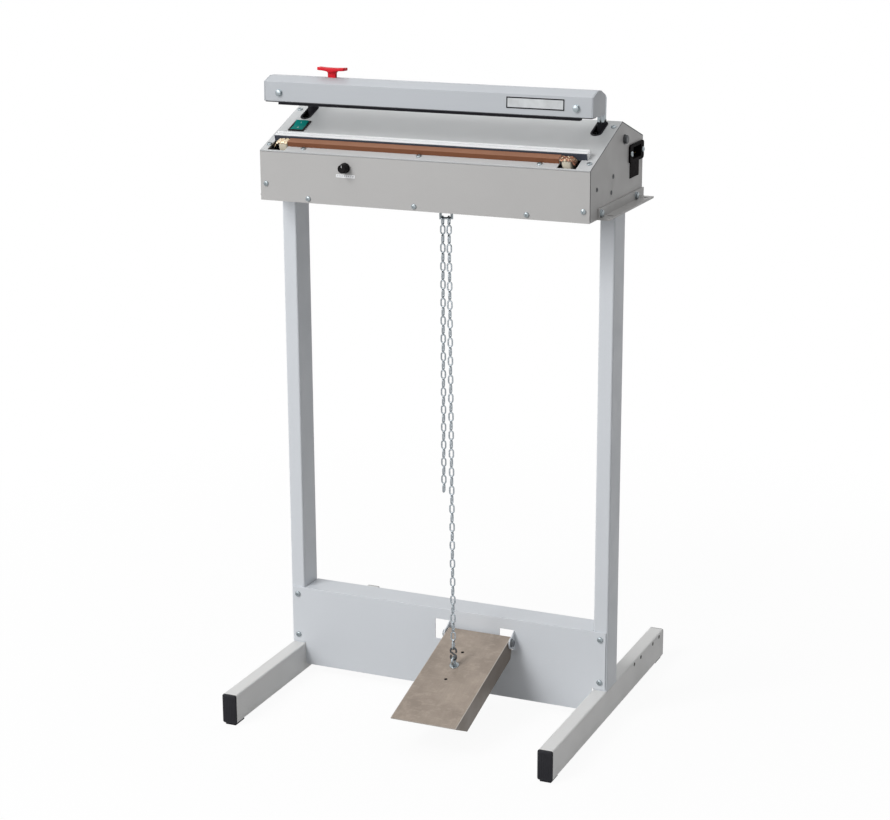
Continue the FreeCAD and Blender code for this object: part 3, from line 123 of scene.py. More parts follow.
class Look:
    """A procedural material: colour that varies, roughness that varies and a fine relief."""

    def __init__(self, name):
        self.mat = bpy.data.materials.new(name)
        self.mat.use_nodes = True
        self.nt = self.mat.node_tree
        self.bsdf = self.nt.nodes["Principled BSDF"]
        self.coord = shader(self.nt, "TexCoord")
        self.height = None

    def link(self, a, b):
        self.nt.links.new(a, b)

    def vector(self, stretch=(1, 1, 1), rotate=(0, 0, 0)):
        node = shader(self.nt, "Mapping", Scale=stretch, Rotation=rotate)
        self.link(self.coord.outputs["Object"], node.inputs["Vector"])
        return node.outputs["Vector"]

    def noise(self, scale, detail=3, rough=0.55, stretch=(1, 1, 1), rotate=(0, 0, 0)):
        node = shader(self.nt, "TexNoise", Scale=scale, Detail=detail, Roughness=rough)
        self.link(self.vector(stretch, rotate), node.inputs["Vector"])
        return node.outputs["Fac"]

    def wave(self, scale, direction, rotate=(0, 0, 0)):
        node = shader(self.nt, "TexWave", Scale=scale)
        node.bands_direction = direction
        self.link(self.vector((1, 1, 1), rotate), node.inputs["Vector"])
        return node.outputs["Fac"]

    def ramp(self, fac, low, high, a=0.3, b=0.7):
        node = shader(self.nt, "MapRange", From_Min=a, From_Max=b, To_Min=low, To_Max=high)
        self.link(fac, node.inputs["Value"])
        return node.outputs["Result"]

    def maths(self, kind, a, b):
        node = shader(self.nt, "Math", kind)
        for socket, value in zip(node.inputs, (a, b)):
            if isinstance(value, (int, float)):
                socket.default_value = value
            else:
                self.link(value, socket)
        return node.outputs[0]

    def blend(self, fac, a, b):
        node = shader(self.nt, "Mix")
        node.data_type = "RGBA"
        for socket, value in ((node.inputs[6], a), (node.inputs[7], b)):
            if isinstance(value, tuple):
                socket.default_value = value
            else:
                self.link(value, socket)
        self.link(fac, node.inputs[0])
        return node.outputs[2]

    def facing(self, axis):
        """How far a face looks along one of the object's axes, either way."""
        node = shader(self.nt, "SeparateXYZ")
        self.link(self.coord.outputs["Normal"], node.inputs["Vector"])
        return self.maths("ABSOLUTE", node.outputs[axis], 0.0)

    def colour(self, socket):
        self.link(socket, self.bsdf.inputs["Base Color"])

    def rough(self, socket):
        self.link(socket, self.bsdf.inputs["Roughness"])

    def relief(self, fac, distance, strength=1.0):
        node = shader(self.nt, "Bump", Distance=distance, Strength=strength)
        self.link(fac, node.inputs["Height"])
        if self.height is not None:
            self.link(self.height, node.inputs["Normal"])
        self.height = node.outputs["Normal"]
        self.link(self.height, self.bsdf.inputs["Normal"])

    def set(self, **values):
        for key, value in values.items():
            self.bsdf.inputs[key.replace("_", " ")].default_value = value
        return self


def paint(name, colour, rough=(0.36, 0.5)):
    """Powder coat: a soft orange-peel relief with faint cloudiness and handling marks."""
    look = Look(name)
    cloud = look.ramp(look.noise(5.0, 4), 0, 1)
    grain = look.noise(900.0, 2)
    base = look.blend(cloud, shade(colour, 0.97), shade(colour, 1.02))
    look.colour(look.blend(look.ramp(grain, 0, 0.5), base, shade(colour, 0.95)))
    look.rough(look.ramp(look.noise(28.0, 4), rough[0], rough[1]))
    look.relief(look.noise(420.0, 2), 0.00006, 0.5)
    look.relief(grain, 0.00002, 0.4)
    return look.mat


def metal(name, colour, rough, stretch, metallic=1.0, scale=40.0, streak=0.12, dirt=0.5):
    """Metal with marks drawn along one direction, smudges and uneven polish."""
    look = Look(name).set(Metallic=metallic)
    lines = look.noise(scale, 5, 0.7, stretch)
    smudge = look.noise(14.0, 4)
    bright = shade(colour, 1 + streak / 2)
    base = look.blend(look.ramp(lines, 0, 1, 0.35, 0.65), shade(colour, 1 - streak), bright)
    look.colour(look.blend(look.ramp(smudge, 0, dirt, 0.45, 0.75), base, shade(colour, 0.82)))
    look.rough(look.maths("ADD", look.ramp(lines, rough[0], rough[1]), look.ramp(smudge, -0.04, 0.06)))
    look.relief(lines, 0.00002, 0.5)
    return look.mat


def worn_with_painted_light(name, colour):
    """Trodden stainless sheet: grain, cloudy stains and fine scratches; painted shade on the flanges, painted
    highlights on the bends and front.
    """
    look = Look(name).set(Metallic=0.12, Specular_IOR_Level=0.3)
    grain = look.noise(24.0, 5, 0.7, (60, 1.2, 1.2))
    stain = look.noise(16.0, 5, 0.6)
    spots = look.noise(70.0, 4, 0.65)
    scratch = look.noise(9.0, 3, 0.6, (4, 90, 30), (0.3, 0.2, 0.7))
    base = look.blend(look.ramp(grain, 0, 1, 0.35, 0.65), shade(colour, 0.92), shade(colour, 1.06))
    base = look.blend(look.ramp(stain, 0, 0.85, 0.4, 0.65), base, shade(colour, 0.74))
    base = look.blend(look.ramp(spots, 0, 0.5, 0.5, 0.7), base, shade(colour, 1.25))
    base = look.blend(look.ramp(scratch, 0, 0.6, 0.6, 0.7), base, shade(colour, 1.35))
    # Painted light: faces turned along X (the flanges) are painted darker as painted shade; the bends and the
    # faces turned along Y (the front edge) are painted lighter as painted highlights.
    side = look.facing("X")
    bend = look.maths("MULTIPLY", look.ramp(side, 0, 1, 0.12, 0.35), look.ramp(side, 1, 0, 0.7, 0.92))
    base = look.blend(look.ramp(side, 0, 0.85, 0.7, 0.92), base, shade(colour, 0.5))
    base = look.blend(look.ramp(look.facing("Y"), 0, 0.8, 0.6, 0.9), base, shade(colour, 1.3))
    look.colour(look.blend(bend, base, shade(colour, 1.45)))
    look.rough(look.maths("ADD", look.ramp(grain, 0.3, 0.44), look.ramp(stain, -0.05, 0.1)))
    look.relief(grain, 0.00002, 0.5)
    look.relief(scratch, 0.00002, 0.3)
    return look.mat


def plastic(name, colour, rough, grain=1200.0, depth=0.00003, **values):
    """Moulded plastic or rubber with a fine grain, faint bloom and scuffs."""
    look = Look(name).set(**values)
    bloom = look.ramp(look.noise(60.0, 4), 0, 1)
    look.colour(look.blend(bloom, shade(colour, 0.88), shade(colour, 1.1)))
    look.rough(look.ramp(look.noise(150.0, 3), rough[0], rough[1]))
    look.relief(look.noise(grain, 2), depth, 0.6)
    return look.mat


def crumpled(name, main, deep, pale):
    """Creased foil or tape: patches of two colours, with pale painted highlights along the creases."""
    look = Look(name).set(Metallic=0.25)
    patch = look.noise(230.0, 4, 0.6)
    crease = look.noise(420.0, 3, 0.6, (1, 1, 1), (0.4, 0.2, 0.9))
    base = look.blend(look.ramp(patch, 0, 1, 0.42, 0.6), main, deep)
    # Painted highlight: the pale colour follows the same noise as the crease relief.
    look.colour(look.blend(look.ramp(crease, 0, 1, 0.52, 0.64), base, pale))
    look.rough(look.ramp(patch, 0.28, 0.5))
    look.relief(crease, 0.0004, 0.6)
    return look.mat


def cloth(name, colour, edge):
    """Brown coated glass cloth: a fine square weave, with painted shade that makes its front darker than its
    top.
    """
    look = Look(name).set(Specular_IOR_Level=0.06)
    across = look.wave(900.0, "X")
    along = look.wave(900.0, "Y", (-SLOPE, 0, 0))
    weave = look.maths("ADD", look.ramp(across, 0, 0.5, 0, 1), look.ramp(along, 0, 0.5, 0, 1))
    cloud = look.ramp(look.noise(20.0, 5, 0.6, (0.3, 1, 1)), 0, 1)
    tint = look.blend(cloud, shade(colour, 0.9), shade(colour, 1.1))
    # Painted shade: faces that turn away from straight up (the front) take the darker edge colour.
    tint = look.blend(look.ramp(look.facing("Z"), 1, 0, 0.5, 0.8), tint, edge)
    look.colour(look.blend(look.ramp(weave, 0, 0.35, 0, 1), tint, shade(colour, 0.8)))
    look.rough(look.ramp(look.noise(40.0, 3), 0.34, 0.5))
    look.relief(weave, 0.00003, 0.5)
    return look.mat


DULL = {"Specular_IOR_Level": 0.1}
M = {
    "paint": paint("powder_coat_stand", linear(217, 221, 226)),
    "foot_paint": paint("powder_coat_feet", linear(226, 226, 225)),
    "head_paint": paint("powder_coat_head", linear(183, 182, 181)),
    # Painted light: the cover takes a lighter copy of the head's paint, for the stronger light that falls on
    # it.
    "lit_cover_paint": paint("powder_coat_head_lit", linear(200, 202, 203)),
    "arm_paint": paint("powder_coat_arm", linear(184, 188, 193)),
    "stainless": worn_with_painted_light("stainless", linear(164, 151, 139)),
    "zinc": metal("zinc_plate", linear(156, 164, 168), (0.28, 0.42), (1, 1, 1), 0.9, 180.0, 0.14),
    "chain": metal("chain_zinc", linear(158, 165, 170), (0.2, 0.34), (1, 1, 1), 1.0, 260.0, 0.2),
    "steel": metal("satin_steel", linear(128, 131, 134), (0.3, 0.42), (8, 1, 1), 0.95, 30.0, 0.14),
    "dark_steel": metal("dark_steel", linear(84, 86, 88), (0.34, 0.46), (1, 1, 1), 0.8, 120.0, 0.2),
    "aluminium": metal("aluminium", linear(246, 247, 248), (0.4, 0.5), (1, 60, 60), 0.05, 10.0, 0.015, 0.1),
    "dark_aluminium": metal("black_anodised", linear(36, 37, 44), (0.42, 0.55), (1, 40, 40), 0.2, 16.0, 0.1),
    # The third colour of the foil and of the tape is a painted highlight on the creases.
    "foil": crumpled("copper_foil", linear(168, 104, 72), linear(92, 52, 38), linear(236, 222, 190)),
    "tape": crumpled("glass_tape", linear(236, 222, 186), linear(206, 174, 138), linear(246, 242, 232)),
    "copper": metal("copper", linear(196, 122, 78), (0.26, 0.4), (1, 6, 6), 0.95, 60.0, 0.18),
    "brass": metal("brass", linear(190, 160, 96), (0.25, 0.38), (1, 1, 1), 0.95, 120.0, 0.12),
    # The cloth's second colour is painted shade for its front face.
    "cloth": cloth("coated_cloth", linear(160, 115, 91), linear(126, 81, 58)),
    "cream": plastic("cream_ceramic", linear(236, 228, 208), (0.4, 0.55), 700.0),
    "rubber": plastic("black_rubber", linear(32, 32, 37), (0.55, 0.72), 900.0, 0.00005, **DULL),
    "black": plastic("black_plastic", linear(18, 16, 17), (0.42, 0.56), 1300.0, 0.00004, **DULL),
    "cap": plastic("cap_plastic", linear(48, 48, 52), (0.46, 0.6), 900.0, 0.00006, **DULL),
    "grey_cap": plastic("cap_plastic_grey", linear(150, 151, 151), (0.46, 0.6), 900.0, 0.00006),
    "red": plastic("red_plastic", linear(214, 36, 48), (0.36, 0.48), 500.0, 0.00002, **DULL),
    "green": plastic("green_lens", linear(2, 132, 124), (0.34, 0.46), 300.0, 0.00001,
                     Specular_IOR_Level=0.04),
    "white": plastic("white_print", linear(236, 237, 239), (0.4, 0.5), 800.0, 0.00001),
    "plate": plastic("bare_plate", linear(206, 209, 211), (0.45, 0.55), 900.0, 0.00001, **DULL),
    # Painted highlight: the colour of the bright lines along the pedal's bends and front edge.
    "bend": metal("painted_edge_highlight", linear(188, 180, 172), (0.35, 0.45), (1, 30, 1), 0.15, 30.0, 0.1),
    "seam_shade": plastic("seam_shadow", linear(92, 92, 93), (0.5, 0.6), 900.0, 0.00001, **DULL),
    "slate": plastic("slate_strip", linear(66, 70, 80), (0.4, 0.5), 900.0, 0.00001, **DULL),
    "matte_black": plastic("matte_black", linear(16, 14, 15), (0.6, 0.75), 1300.0, 0.00004,
                           Specular_IOR_Level=0.03),
    "ink": plastic("dark_ink", linear(34, 34, 38), (0.45, 0.6), 800.0, 0.00001, **DULL),
    "board": plastic("solder_mask", linear(28, 96, 52), (0.3, 0.4), 400.0),
    "iron": metal("laminations", linear(84, 86, 90), (0.45, 0.6), (60, 1, 1), 0.6, 30.0, 0.3),
}

CAD_LOOK = {
    "paint": ("left_post", "right_post", "cross_panel"),
    "foot_paint": ("left_foot", "right_foot"),
    "head_paint": ("base_plate", "front_panel", "left_side_plate", "right_side_plate", "bench_brackets"),
    # The cover's lighter copy of the head's paint is painted light.
    "lit_cover_paint": ("top_cover",),
    "arm_paint": ("arm_cover", "arm_ends"),
    "stainless": ("pedal_plate",),
    "zinc": ("post_nut_plates", "head_bolts", "side_arms", "spring_pins", "return_springs", "spring_anchors",
             "pull_rod"),
    "steel": ("pivot_shaft", "pull_lever", "cutter_blade", "start_switch", "heating_band"),
    "dark_steel": ("pivot_bushes",),
    "aluminium": ("seal_bar", "film_bar", "cutter_rail"),
    "dark_aluminium": ("pressure_bar",),
    "brass": ("inlet_pins",),
    "copper": ("transformer_coil",),
    "cloth": ("ptfe_cover",),
    "rubber": ("foot_pads", "slot_grommets", "pressure_rubber"),
    "black": ("cutter_carriage", "switch_bezel", "timer_pot"),
    "matte_black": ("power_inlet", "fuse_holder"),
    "board": ("timer_board",),
    "iron": ("transformer_core",),
}
for look_name, members in CAD_LOOK.items():
    for node in members:
        nodes[node].data.materials.clear()
        nodes[node].data.materials.append(M[look_name])


SHARP_ANGLE = 50
RIDGE_ANGLE = 25
EDGE_WIDTHS = {
    "front_panel": 0.8, "top_cover": 0.8, "left_side_plate": 0.5, "right_side_plate": 0.5, "cross_panel": 0.6,
    "arm_cover": 0.6, "arm_ends": 0.8, "pedal_plate": 1.6, "film_bar": 0.4, "ptfe_cover": 0.5,
    "slot_grommets": 0.5, "switch_bezel": 0.5, "power_inlet": 0.6, "fuse_holder": 0.6, "bench_brackets": 0.5,
    "pressure_rubber": 0.6, "pressure_bar": 0.5, "side_arms": 0.5, "foot_pads": 0.8, "base_plate": 0.6,
}


def soften(node, width, angle):
    """Gives a solid's sharp edges the small radius that bending, moulding or deburring leaves."""
    obj = nodes[node]
    weld = obj.modifiers.new("weld", "WELD")
    weld.merge_threshold = 0.00001
    flat = obj.modifiers.new("flat", "DECIMATE")
    flat.decimate_type = "DISSOLVE"
    flat.angle_limit = math.radians(0.5)
    bevel = obj.modifiers.new("edges", "BEVEL")
    bevel.width = width * MM
    bevel.segments = 2
    bevel.limit_method = "ANGLE"
    bevel.angle_limit = math.radians(angle)
    bevel.use_clamp_overlap = True
    bevel.loop_slide = False
    normals = obj.modifiers.new("normals", "WEIGHTED_NORMAL")
    normals.keep_sharp = False


for node, width in EDGE_WIDTHS.items():
    soften(node, width, RIDGE_ANGLE if node == "top_cover" else SHARP_ANGLE)


# Mesh building

class Form:
    """Collects vertices and faces, in metres, for one piece."""

    def __init__(self):
        self.verts = []
        self.faces = []

    def ring(self, points):
        start = len(self.verts)
        self.verts += [Vector(p) for p in points]
        return list(range(start, start + len(points)))

    def bridge(self, a, b):
        n = len(a)
        self.faces += [(a[i], a[(i + 1) % n], b[(i + 1) % n], b[i]) for i in range(n)]

    def cap(self, ring, flip=False):
        self.faces.append(tuple(reversed(ring)) if flip else tuple(ring))

    def stack(self, rings):
        """Rings joined in order and closed at both ends."""
        marks = [self.ring(r) for r in rings]
        for a, b in zip(marks, marks[1:]):
            self.bridge(a, b)
        self.cap(marks[0], True)
        self.cap(marks[-1])

    def loop(self, rings):
        """Rings joined in order, and the last to the first."""
        marks = [self.ring(r) for r in rings]
        for a, b in zip(marks, marks[1:] + marks[:1]):
            self.bridge(a, b)

    def add(self, other, matrix=IDENTITY):
        start = len(self.verts)
        self.verts += [matrix @ v for v in other.verts]
        self.faces += [tuple(i + start for i in f) for f in other.faces]

    def at(self, matrix):
        """The same form, placed by a matrix."""
        form = Form()
        form.add(self, matrix)
        return form

    def piece(self, name, look, body, slot, replaced=(), smooth=35, bevel=0.0):
        """Makes the piece, on its body. Edges sharper than smooth, in degrees, stay sharp."""
        mesh = bpy.data.meshes.new(name)
        mesh.from_pydata([tuple(v) for v in self.verts], [], self.faces)
        tidy = bmesh.new()
        tidy.from_mesh(mesh)
        bmesh.ops.recalc_face_normals(tidy, faces=tidy.faces)
        tidy.to_mesh(mesh)
        tidy.free()
        mesh.materials.append(M[look])
        mesh.polygons.foreach_set("use_smooth", [True] * len(mesh.polygons))
        mesh.set_sharp_from_angle(angle=math.radians(smooth))
        obj = bpy.data.objects.new(name, mesh)
        bpy.context.scene.collection.objects.link(obj)
        if bevel:
            edge = obj.modifiers.new("edges", "BEVEL")
            edge.width = bevel * MM
            edge.segments = 2
            edge.limit_method = "ANGLE"
            edge.angle_limit = math.radians(35)
        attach(obj, body)
        if replaced:
            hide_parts(*replaced)


def stacked(rings):
    """A form of rings joined in order and closed at both ends."""
    form = Form()
    form.stack(rings)
    return form


def placed(x, y, z, point):
    """Matrix with the three axes as its columns, at a point."""
    return Matrix(((x.x, y.x, z.x, point.x), (x.y, y.y, z.y, point.y),
                   (x.z, y.z, z.z, point.z), (0, 0, 0, 1)))


def frame_at(point, direction, towards=None):
    """Matrix that sets a form drawn along +Z on a point, along a direction."""
    z = Vector(direction).normalized()
    if towards is None:
        towards = (1, 0, 0) if abs(z.x) < 0.9 else (0, 1, 0)
    x = Vector(towards)
    x = (x - z * x.dot(z)).normalized()
    return placed(x, z.cross(x), z, point)


def angles_round(count):
    return [TURN * k / count for k in range(count)]


def circle(radius, z, count=24):
    return [mm(radius * math.cos(a), radius * math.sin(a), z) for a in angles_round(count)]


def lathe(profile, count=32):
    """A turned form from (radius, height) pairs in millimetres."""
    return stacked([circle(max(r, 0.01), z, count) for r, z in profile])


def sweep(path, radius, closed, sides=12):
    """A round wire along a path in metres. The radius, in millimetres, may change along it."""
    form = Form()
    count = len(path)
    radii = radius if isinstance(radius, (list, tuple)) else [radius] * count
    tangents = []
    for i in range(count):
        before = path[i - 1] if closed or i else path[i]
        after = path[(i + 1) % count] if closed or i < count - 1 else path[i]
        tangents.append((after - before).normalized())
    side = tangents[0].orthogonal().normalized()
    rings = []
    for i in range(count):
        side = (side - tangents[i] * side.dot(tangents[i])).normalized()
        up = tangents[i].cross(side)
        rings.append(form.ring([path[i] + (side * math.cos(a) + up * math.sin(a)) * radii[i] * MM
                                for a in angles_round(sides)]))
    for a, b in zip(rings, rings[1:]):
        form.bridge(a, b)
    if closed:
        last = form.verts[rings[-1][0]]
        offset = min(range(sides), key=lambda k: (form.verts[rings[0][k]] - last).length)
        form.bridge(rings[-1], rings[0][offset:] + rings[0][:offset])
    else:
        form.cap(rings[0], True)
        form.cap(rings[-1])
    return form


def slab(corners, low, high):
    """A flat plate from (x, y) corners, from one height to another, in millimetres."""
    return stacked([[mm(x, y, z) for x, y in corners] for z in (low, high)])


def rounded(width, height, radius, steps=5):
    """Corners of a rounded rectangle about the origin."""
    corners = []
    for k, (sx, sy) in enumerate(((1, 1), (-1, 1), (-1, -1), (1, -1))):
        for i in range(steps + 1):
            a = math.pi / 2 * (k + i / steps)
            corners.append((sx * (width / 2 - radius) + radius * math.cos(a),
                            sy * (height / 2 - radius) + radius * math.sin(a)))
    return corners


def islands(node):
    """The separate solids of a node, as arrays of points in metres."""
    bm = bmesh.new()
    bm.from_mesh(nodes[node].data)
    bmesh.ops.remove_doubles(bm, verts=bm.verts, dist=0.000005)
    seen = set()
    groups = []
    for start in bm.verts:
        if start in seen:
            continue
        stack, island = [start], []
        seen.add(start)
        while stack:
            v = stack.pop()
            island.append(tuple(v.co))
            for e in v.link_edges:
                w = e.other_vert(v)
                if w not in seen:
                    seen.add(w)
                    stack.append(w)
        groups.append(np.array(island))
    bm.free()
    return groups


# Fasteners

def hex_head(apothem, height, count=48):
    """Hexagon head or nut with its corners turned off by a chamfer."""
    low, high, top = [], [], []
    for a in angles_round(count):
        reach = apothem / math.cos((a % (math.pi / 3)) - math.pi / 6)
        drop = (reach - apothem * 0.96) * 0.55
        low.append(mm(reach * math.cos(a), reach * math.sin(a), 0))
        high.append(mm(reach * math.cos(a), reach * math.sin(a), height - drop))
        top.append(mm(apothem * 0.95 * math.cos(a), apothem * 0.95 * math.sin(a), height))
    return stacked([low, high, top])


def washer(inner, outer, height):
    form = Form()
    profile = ((inner, 0), (outer, 0), (outer, height * 0.7), (outer - height * 0.3, height), (inner, height))
    form.loop([circle(r, z) for r, z in profile])
    return form


def cross_screw(radius, height, depth=1.3):
    """Domed head with a cross recess."""
    form = Form()
    arm, reach = radius * 0.14, radius * 0.52
    count = 48

    def bearing(corner):
        return math.atan2(corner[1], corner[0]) % TURN

    def dome(r):
        return height * (0.45 + 0.55 * math.sqrt(max(0, 1 - (r / radius) ** 2)))

    quarter = ((arm, reach), (arm, arm), (reach, arm))
    cross = sorted([(sx * x, sy * y) for x, y in quarter for sx in (1, -1) for sy in (1, -1)], key=bearing)

    def nearest(angle):
        return min(range(len(cross)), key=lambda i: abs(math.remainder(bearing(cross[i]) - angle, TURN)))

    rim = form.ring(circle(radius, 0, count))
    inner = rim
    for r in (radius, radius * 0.93, radius * 0.8, radius * 0.66):
        ring = form.ring(circle(r, dome(r), count))
        form.bridge(inner, ring)
        inner = ring
    lip = form.ring([mm(x, y, dome(math.hypot(x, y))) for x, y in cross])
    floor = form.ring([mm(x * 0.75, y * 0.75, height - depth) for x, y in cross])
    near = [lip[nearest(a)] for a in angles_round(count)]
    for k in range(count):
        n = (k + 1) % count
        if near[k] == near[n]:
            form.faces.append((inner[k], inner[n], near[k]))
        else:
            form.faces.append((inner[k], inner[n], near[n], near[k]))
    form.bridge(lip, floor)
    form.cap(floor)
    form.cap(rim, True)
    return form


def hex_bolt(radius, height):
    """Bolt head on its washer."""
    form = Form()
    thick = height * 0.22
    form.add(washer(radius * 0.4, radius * 1.12, thick))
    form.add(hex_head(radius * 0.84, height - thick), Matrix.Translation((0, 0, thick * MM)))
    return form


def group(name, body, slot, look, template, places, replaced=(), extra=None):
    """One piece of equal heads. Each place is a point, a direction and a turn in radians."""
    form = Form()
    for point, direction, spin in places:
        form.add(template, frame_at(point, direction) @ Matrix.Rotation(spin, 4, "Z"))
    if extra is not None:
        form.add(extra)
    form.piece(name, look, body, slot, replaced)


slope_up = (on_slope(0, 0, 1) - on_slope(0, 0, 0)).normalized()
arm_front_out = (on_arm(0, 0, 0) - on_arm(0, 1, 0)).normalized()
arm_up = (on_arm(0, 0, 1) - on_arm(0, 0, 0)).normalized()
pedal_up = (on_pedal(0, 0, 1) - on_pedal(0, 0, 0)).normalized()
FORWARD = Vector((0, -1, 0))
RIGHT = Vector((1, 0, 0))
ROOT = "stand_and_head"
PLATED = "zinc_plated_steel"

# Front and panel screws are x and z, slope screws are x and reach up the slope, side screws are y and z
LOW_SCREW_Z = HEAD_BOTTOM + 7
FRONT_SCREWS = [(-195, LOW_SCREW_Z), (-10.5, LOW_SCREW_Z), (178, LOW_SCREW_Z), (-270, 877), (270, 868)]
SLOPE_SCREWS = [(-272, 20), (272, 20), (-272, 137), (272, 137), (-207, 11), (-6, 11), (195, 11)]
INLET_SCREWS_Y = (70, 126)
SIDE_SCREWS = [(-84, 897), (-8.5, 906), (-17, 882)]
PANEL_SCREWS = [(-POST_X, 144), (POST_X, 144), (-POST_X, 69), (POST_X, 69)]
BRACKET_BOLTS_Y = (-71, 96)
BRACKET_BOLT_Z = HEAD_BOTTOM + 9.5
ARM_BOLT_X = 251
ARM_BOLT_H = 27.5
PEDAL_EARS = ((8, 15), (120, 127))
SHAFT_END = 280.7

screw_places = [(mm(x, HEAD_FRONT, z), FORWARD, 0.4 + i) for i, (x, z) in enumerate(FRONT_SCREWS)]
screw_places += [(on_slope(x, s, 0), slope_up, 0.7 * i) for i, (x, s) in enumerate(SLOPE_SCREWS)]
screw_places += [(mm(FLANGE_FACE, y, INLET_Z), RIGHT, 0.3 * y) for y in INLET_SCREWS_Y]
group("housing_screw_heads", ROOT, PLATED, "zinc", cross_screw(4.2, 2.6), screw_places, ("housing_screws",))
group("side_screw_heads", ROOT, PLATED, "dark_steel", cross_screw(3.6, 1.2, 1.0),
      [(mm(HALF_HEAD, y, z), RIGHT, 0.5 * y) for y, z in SIDE_SCREWS])
group("panel_screw_heads", ROOT, PLATED, "zinc", cross_screw(5.0, 3.0),
      [(mm(x, PANEL_FRONT, z), FORWARD, 0.6 * i) for i, (x, z) in enumerate(PANEL_SCREWS)],
      ("panel_screws",))
group("bracket_bolt_heads", ROOT, PLATED, "zinc", hex_bolt(5.5, 4.0),
      [(mm(side * FLANGE_FACE, y, BRACKET_BOLT_Z), RIGHT * side, 0.3 * y)
       for side in (-1, 1) for y in BRACKET_BOLTS_Y], ("bracket_bolts",))
group("arm_bolt_heads", "press_arm", PLATED, "zinc", hex_bolt(5.5, 4.0),
      [(on_arm(x, ARM_FRONT, ARM_BOLT_H), arm_front_out, 0.2 + x) for x in (-ARM_BOLT_X, ARM_BOLT_X)],
      ("arm_bolts",))
pivot_shanks = Form()
for x0, x1 in PEDAL_EARS:
    shank = lathe([(3.6, 0), (4.0, 0.4), (4.0, x1 - x0 - 0.4), (3.6, x1 - x0)])
    pivot_shanks.add(shank, frame_at(mm(x0, *HINGE), RIGHT))
group("pedal_pivot_bolt_heads", ROOT, PLATED, "steel", hex_bolt(6.5, 4.0),
      [(mm(PEDAL_EARS[0][0], *HINGE), -RIGHT, 0.3), (mm(PEDAL_EARS[1][1], *HINGE), RIGHT, 0.5)],
      ("pedal_pivot_bolts",), pivot_shanks)
shaft_cap = lathe([(6.6, 0), (6.9, 0.3), (6.9, 3.9), (6.3, 4.6), (5.0, 5.0), (3.2, 4.8), (0.5, 4.7)], 40)
group("shaft_end_caps", "press_arm", "plain_steel", "dark_steel", shaft_cap,
      [(mm(side * SHAFT_END, *PIVOT), RIGHT * side, 0) for side in (-1, 1)])


# Rubber sleeves on the side arms' necks, below the slots

SIDE_ARM_X = 251.0
PIVOT_S = 157.96
NECK_S = PIVOT_S - 33.5
NECK_H = -32.14
SLEEVE_OUTER = 6.1
SLEEVE_INNER = 5.55
SLEEVE_BACK = 9.5
SLEEVE_NOSE = 3.2
SLEEVE_LOW = 2.0
SLEEVE_TOP = 28.3
SLEEVE_TOP_RISE = 0.42


def sleeve_form(x):
    """U-shaped sleeve with a round front. Its top stands just above the cover when the arm is open."""
    turns = [math.pi * (k / 16 - 0.5) for k in range(17)]
    outline = [(SLEEVE_OUTER * math.sin(a), 1 - SLEEVE_NOSE * math.cos(a)) for a in turns]
    outline += [(SLEEVE_OUTER, SLEEVE_BACK), (SLEEVE_INNER, SLEEVE_BACK), (SLEEVE_INNER, -0.05),
                (-SLEEVE_INNER, -0.05), (-SLEEVE_INNER, SLEEVE_BACK), (-SLEEVE_OUTER, SLEEVE_BACK)]
    low = [on_arm(x + u, NECK_S + v, NECK_H + SLEEVE_LOW) for u, v in outline]
    top = [on_arm(x + u, NECK_S + v, NECK_H + SLEEVE_TOP + SLEEVE_TOP_RISE * v) for u, v in outline]
    return stacked([low, top])


sleeves = Form()
for side in (-1, 1):
    sleeves.add(sleeve_form(side * SIDE_ARM_X))
sleeves.piece("neck_sleeves", "rubber", "press_arm", "dark_rubber", (), 40)


# Chain, hook and eyebolt

CHAIN_WIRE = 1.3
LINK_BEND_STEPS = 12
WELD_REACH = 1.1
WELD_SWELL = 0.16
LEVER_PIN = Vector((0.0, -3.8887, 956.4))
HOOK_SEAT = Vector((EYEBOLT_X, -128.8732, 113.2051))
HOOK_RADIUS = 5.0
HOOK_SHOULDER = 3.0
HOOK_WIRE = 1.6
EYE_RADIUS = 6.5
EYE_RISE = 10.0
EYE_WIRE = 2.0
PEDAL_SHEET = 2.0


def link_form(points, wire):
    """A smooth welded link with the place and size of one of the model's links."""
    centre = points.mean(0)
    axes = np.linalg.svd(points - centre, full_matrices=False)[2]
    long, wide = Vector(axes[0]), Vector(axes[1])
    reach = np.abs((points - centre) @ axes[0]).max() / MM
    half = np.abs((points - centre) @ axes[1]).max() / MM
    bend = half - wire
    straight = reach - half
    path, radii = [], []
    for end in (1, -1):
        for k in range(LINK_BEND_STEPS + 1):
            a = math.pi * k / LINK_BEND_STEPS
            path.append((end * bend * math.cos(a), end * (straight + bend * math.sin(a))))
        for k in range(1, 6):
            path.append((-end * bend, end * straight * (1 - k / 3)))
    middle = Vector(centre)
    line = [middle + (wide * u + long * v) * MM for u, v in path]
    for u, v in path:
        weld = math.exp(-((v / WELD_REACH) ** 2)) if u < 0 else 0
        radii.append(wire * (1 + WELD_SWELL * weld))
    return sweep(line, radii, True, 10)


for node in ("pull_chain", "spare_chain"):
    strand = Form()
    for points in islands(node):
        strand.add(link_form(points, CHAIN_WIRE))
    strand.piece(node + "_links", "chain", "pull_linkage", PLATED, (node,), 60)

up_strand = (LEVER_PIN - HOOK_SEAT).normalized()
across = (RIGHT - up_strand * up_strand.x).normalized()


def hook_path():
    """An S of two open bends, whose shoulders hold the middle clear of the eye below."""
    turns = [math.radians(a) for a in range(-36, 181, 12)]
    bend = [(HOOK_RADIUS * math.cos(a), HOOK_RADIUS * (1 + math.sin(a))) for a in turns]
    bend.append((-HOOK_RADIUS, HOOK_SHOULDER))
    middle = HOOK_SEAT + up_strand * (2 * HOOK_RADIUS)
    upper = [middle + across * a + up_strand * b for a, b in bend]
    lower = [middle - across * a - up_strand * b for a, b in bend]
    return [p * MM for p in upper + lower[::-1]]


hook = sweep(hook_path(), HOOK_WIRE, False, 12)
hook.piece("s_hook_wire", "dark_steel", "pull_linkage", PLATED, ("s_hook",), 60)

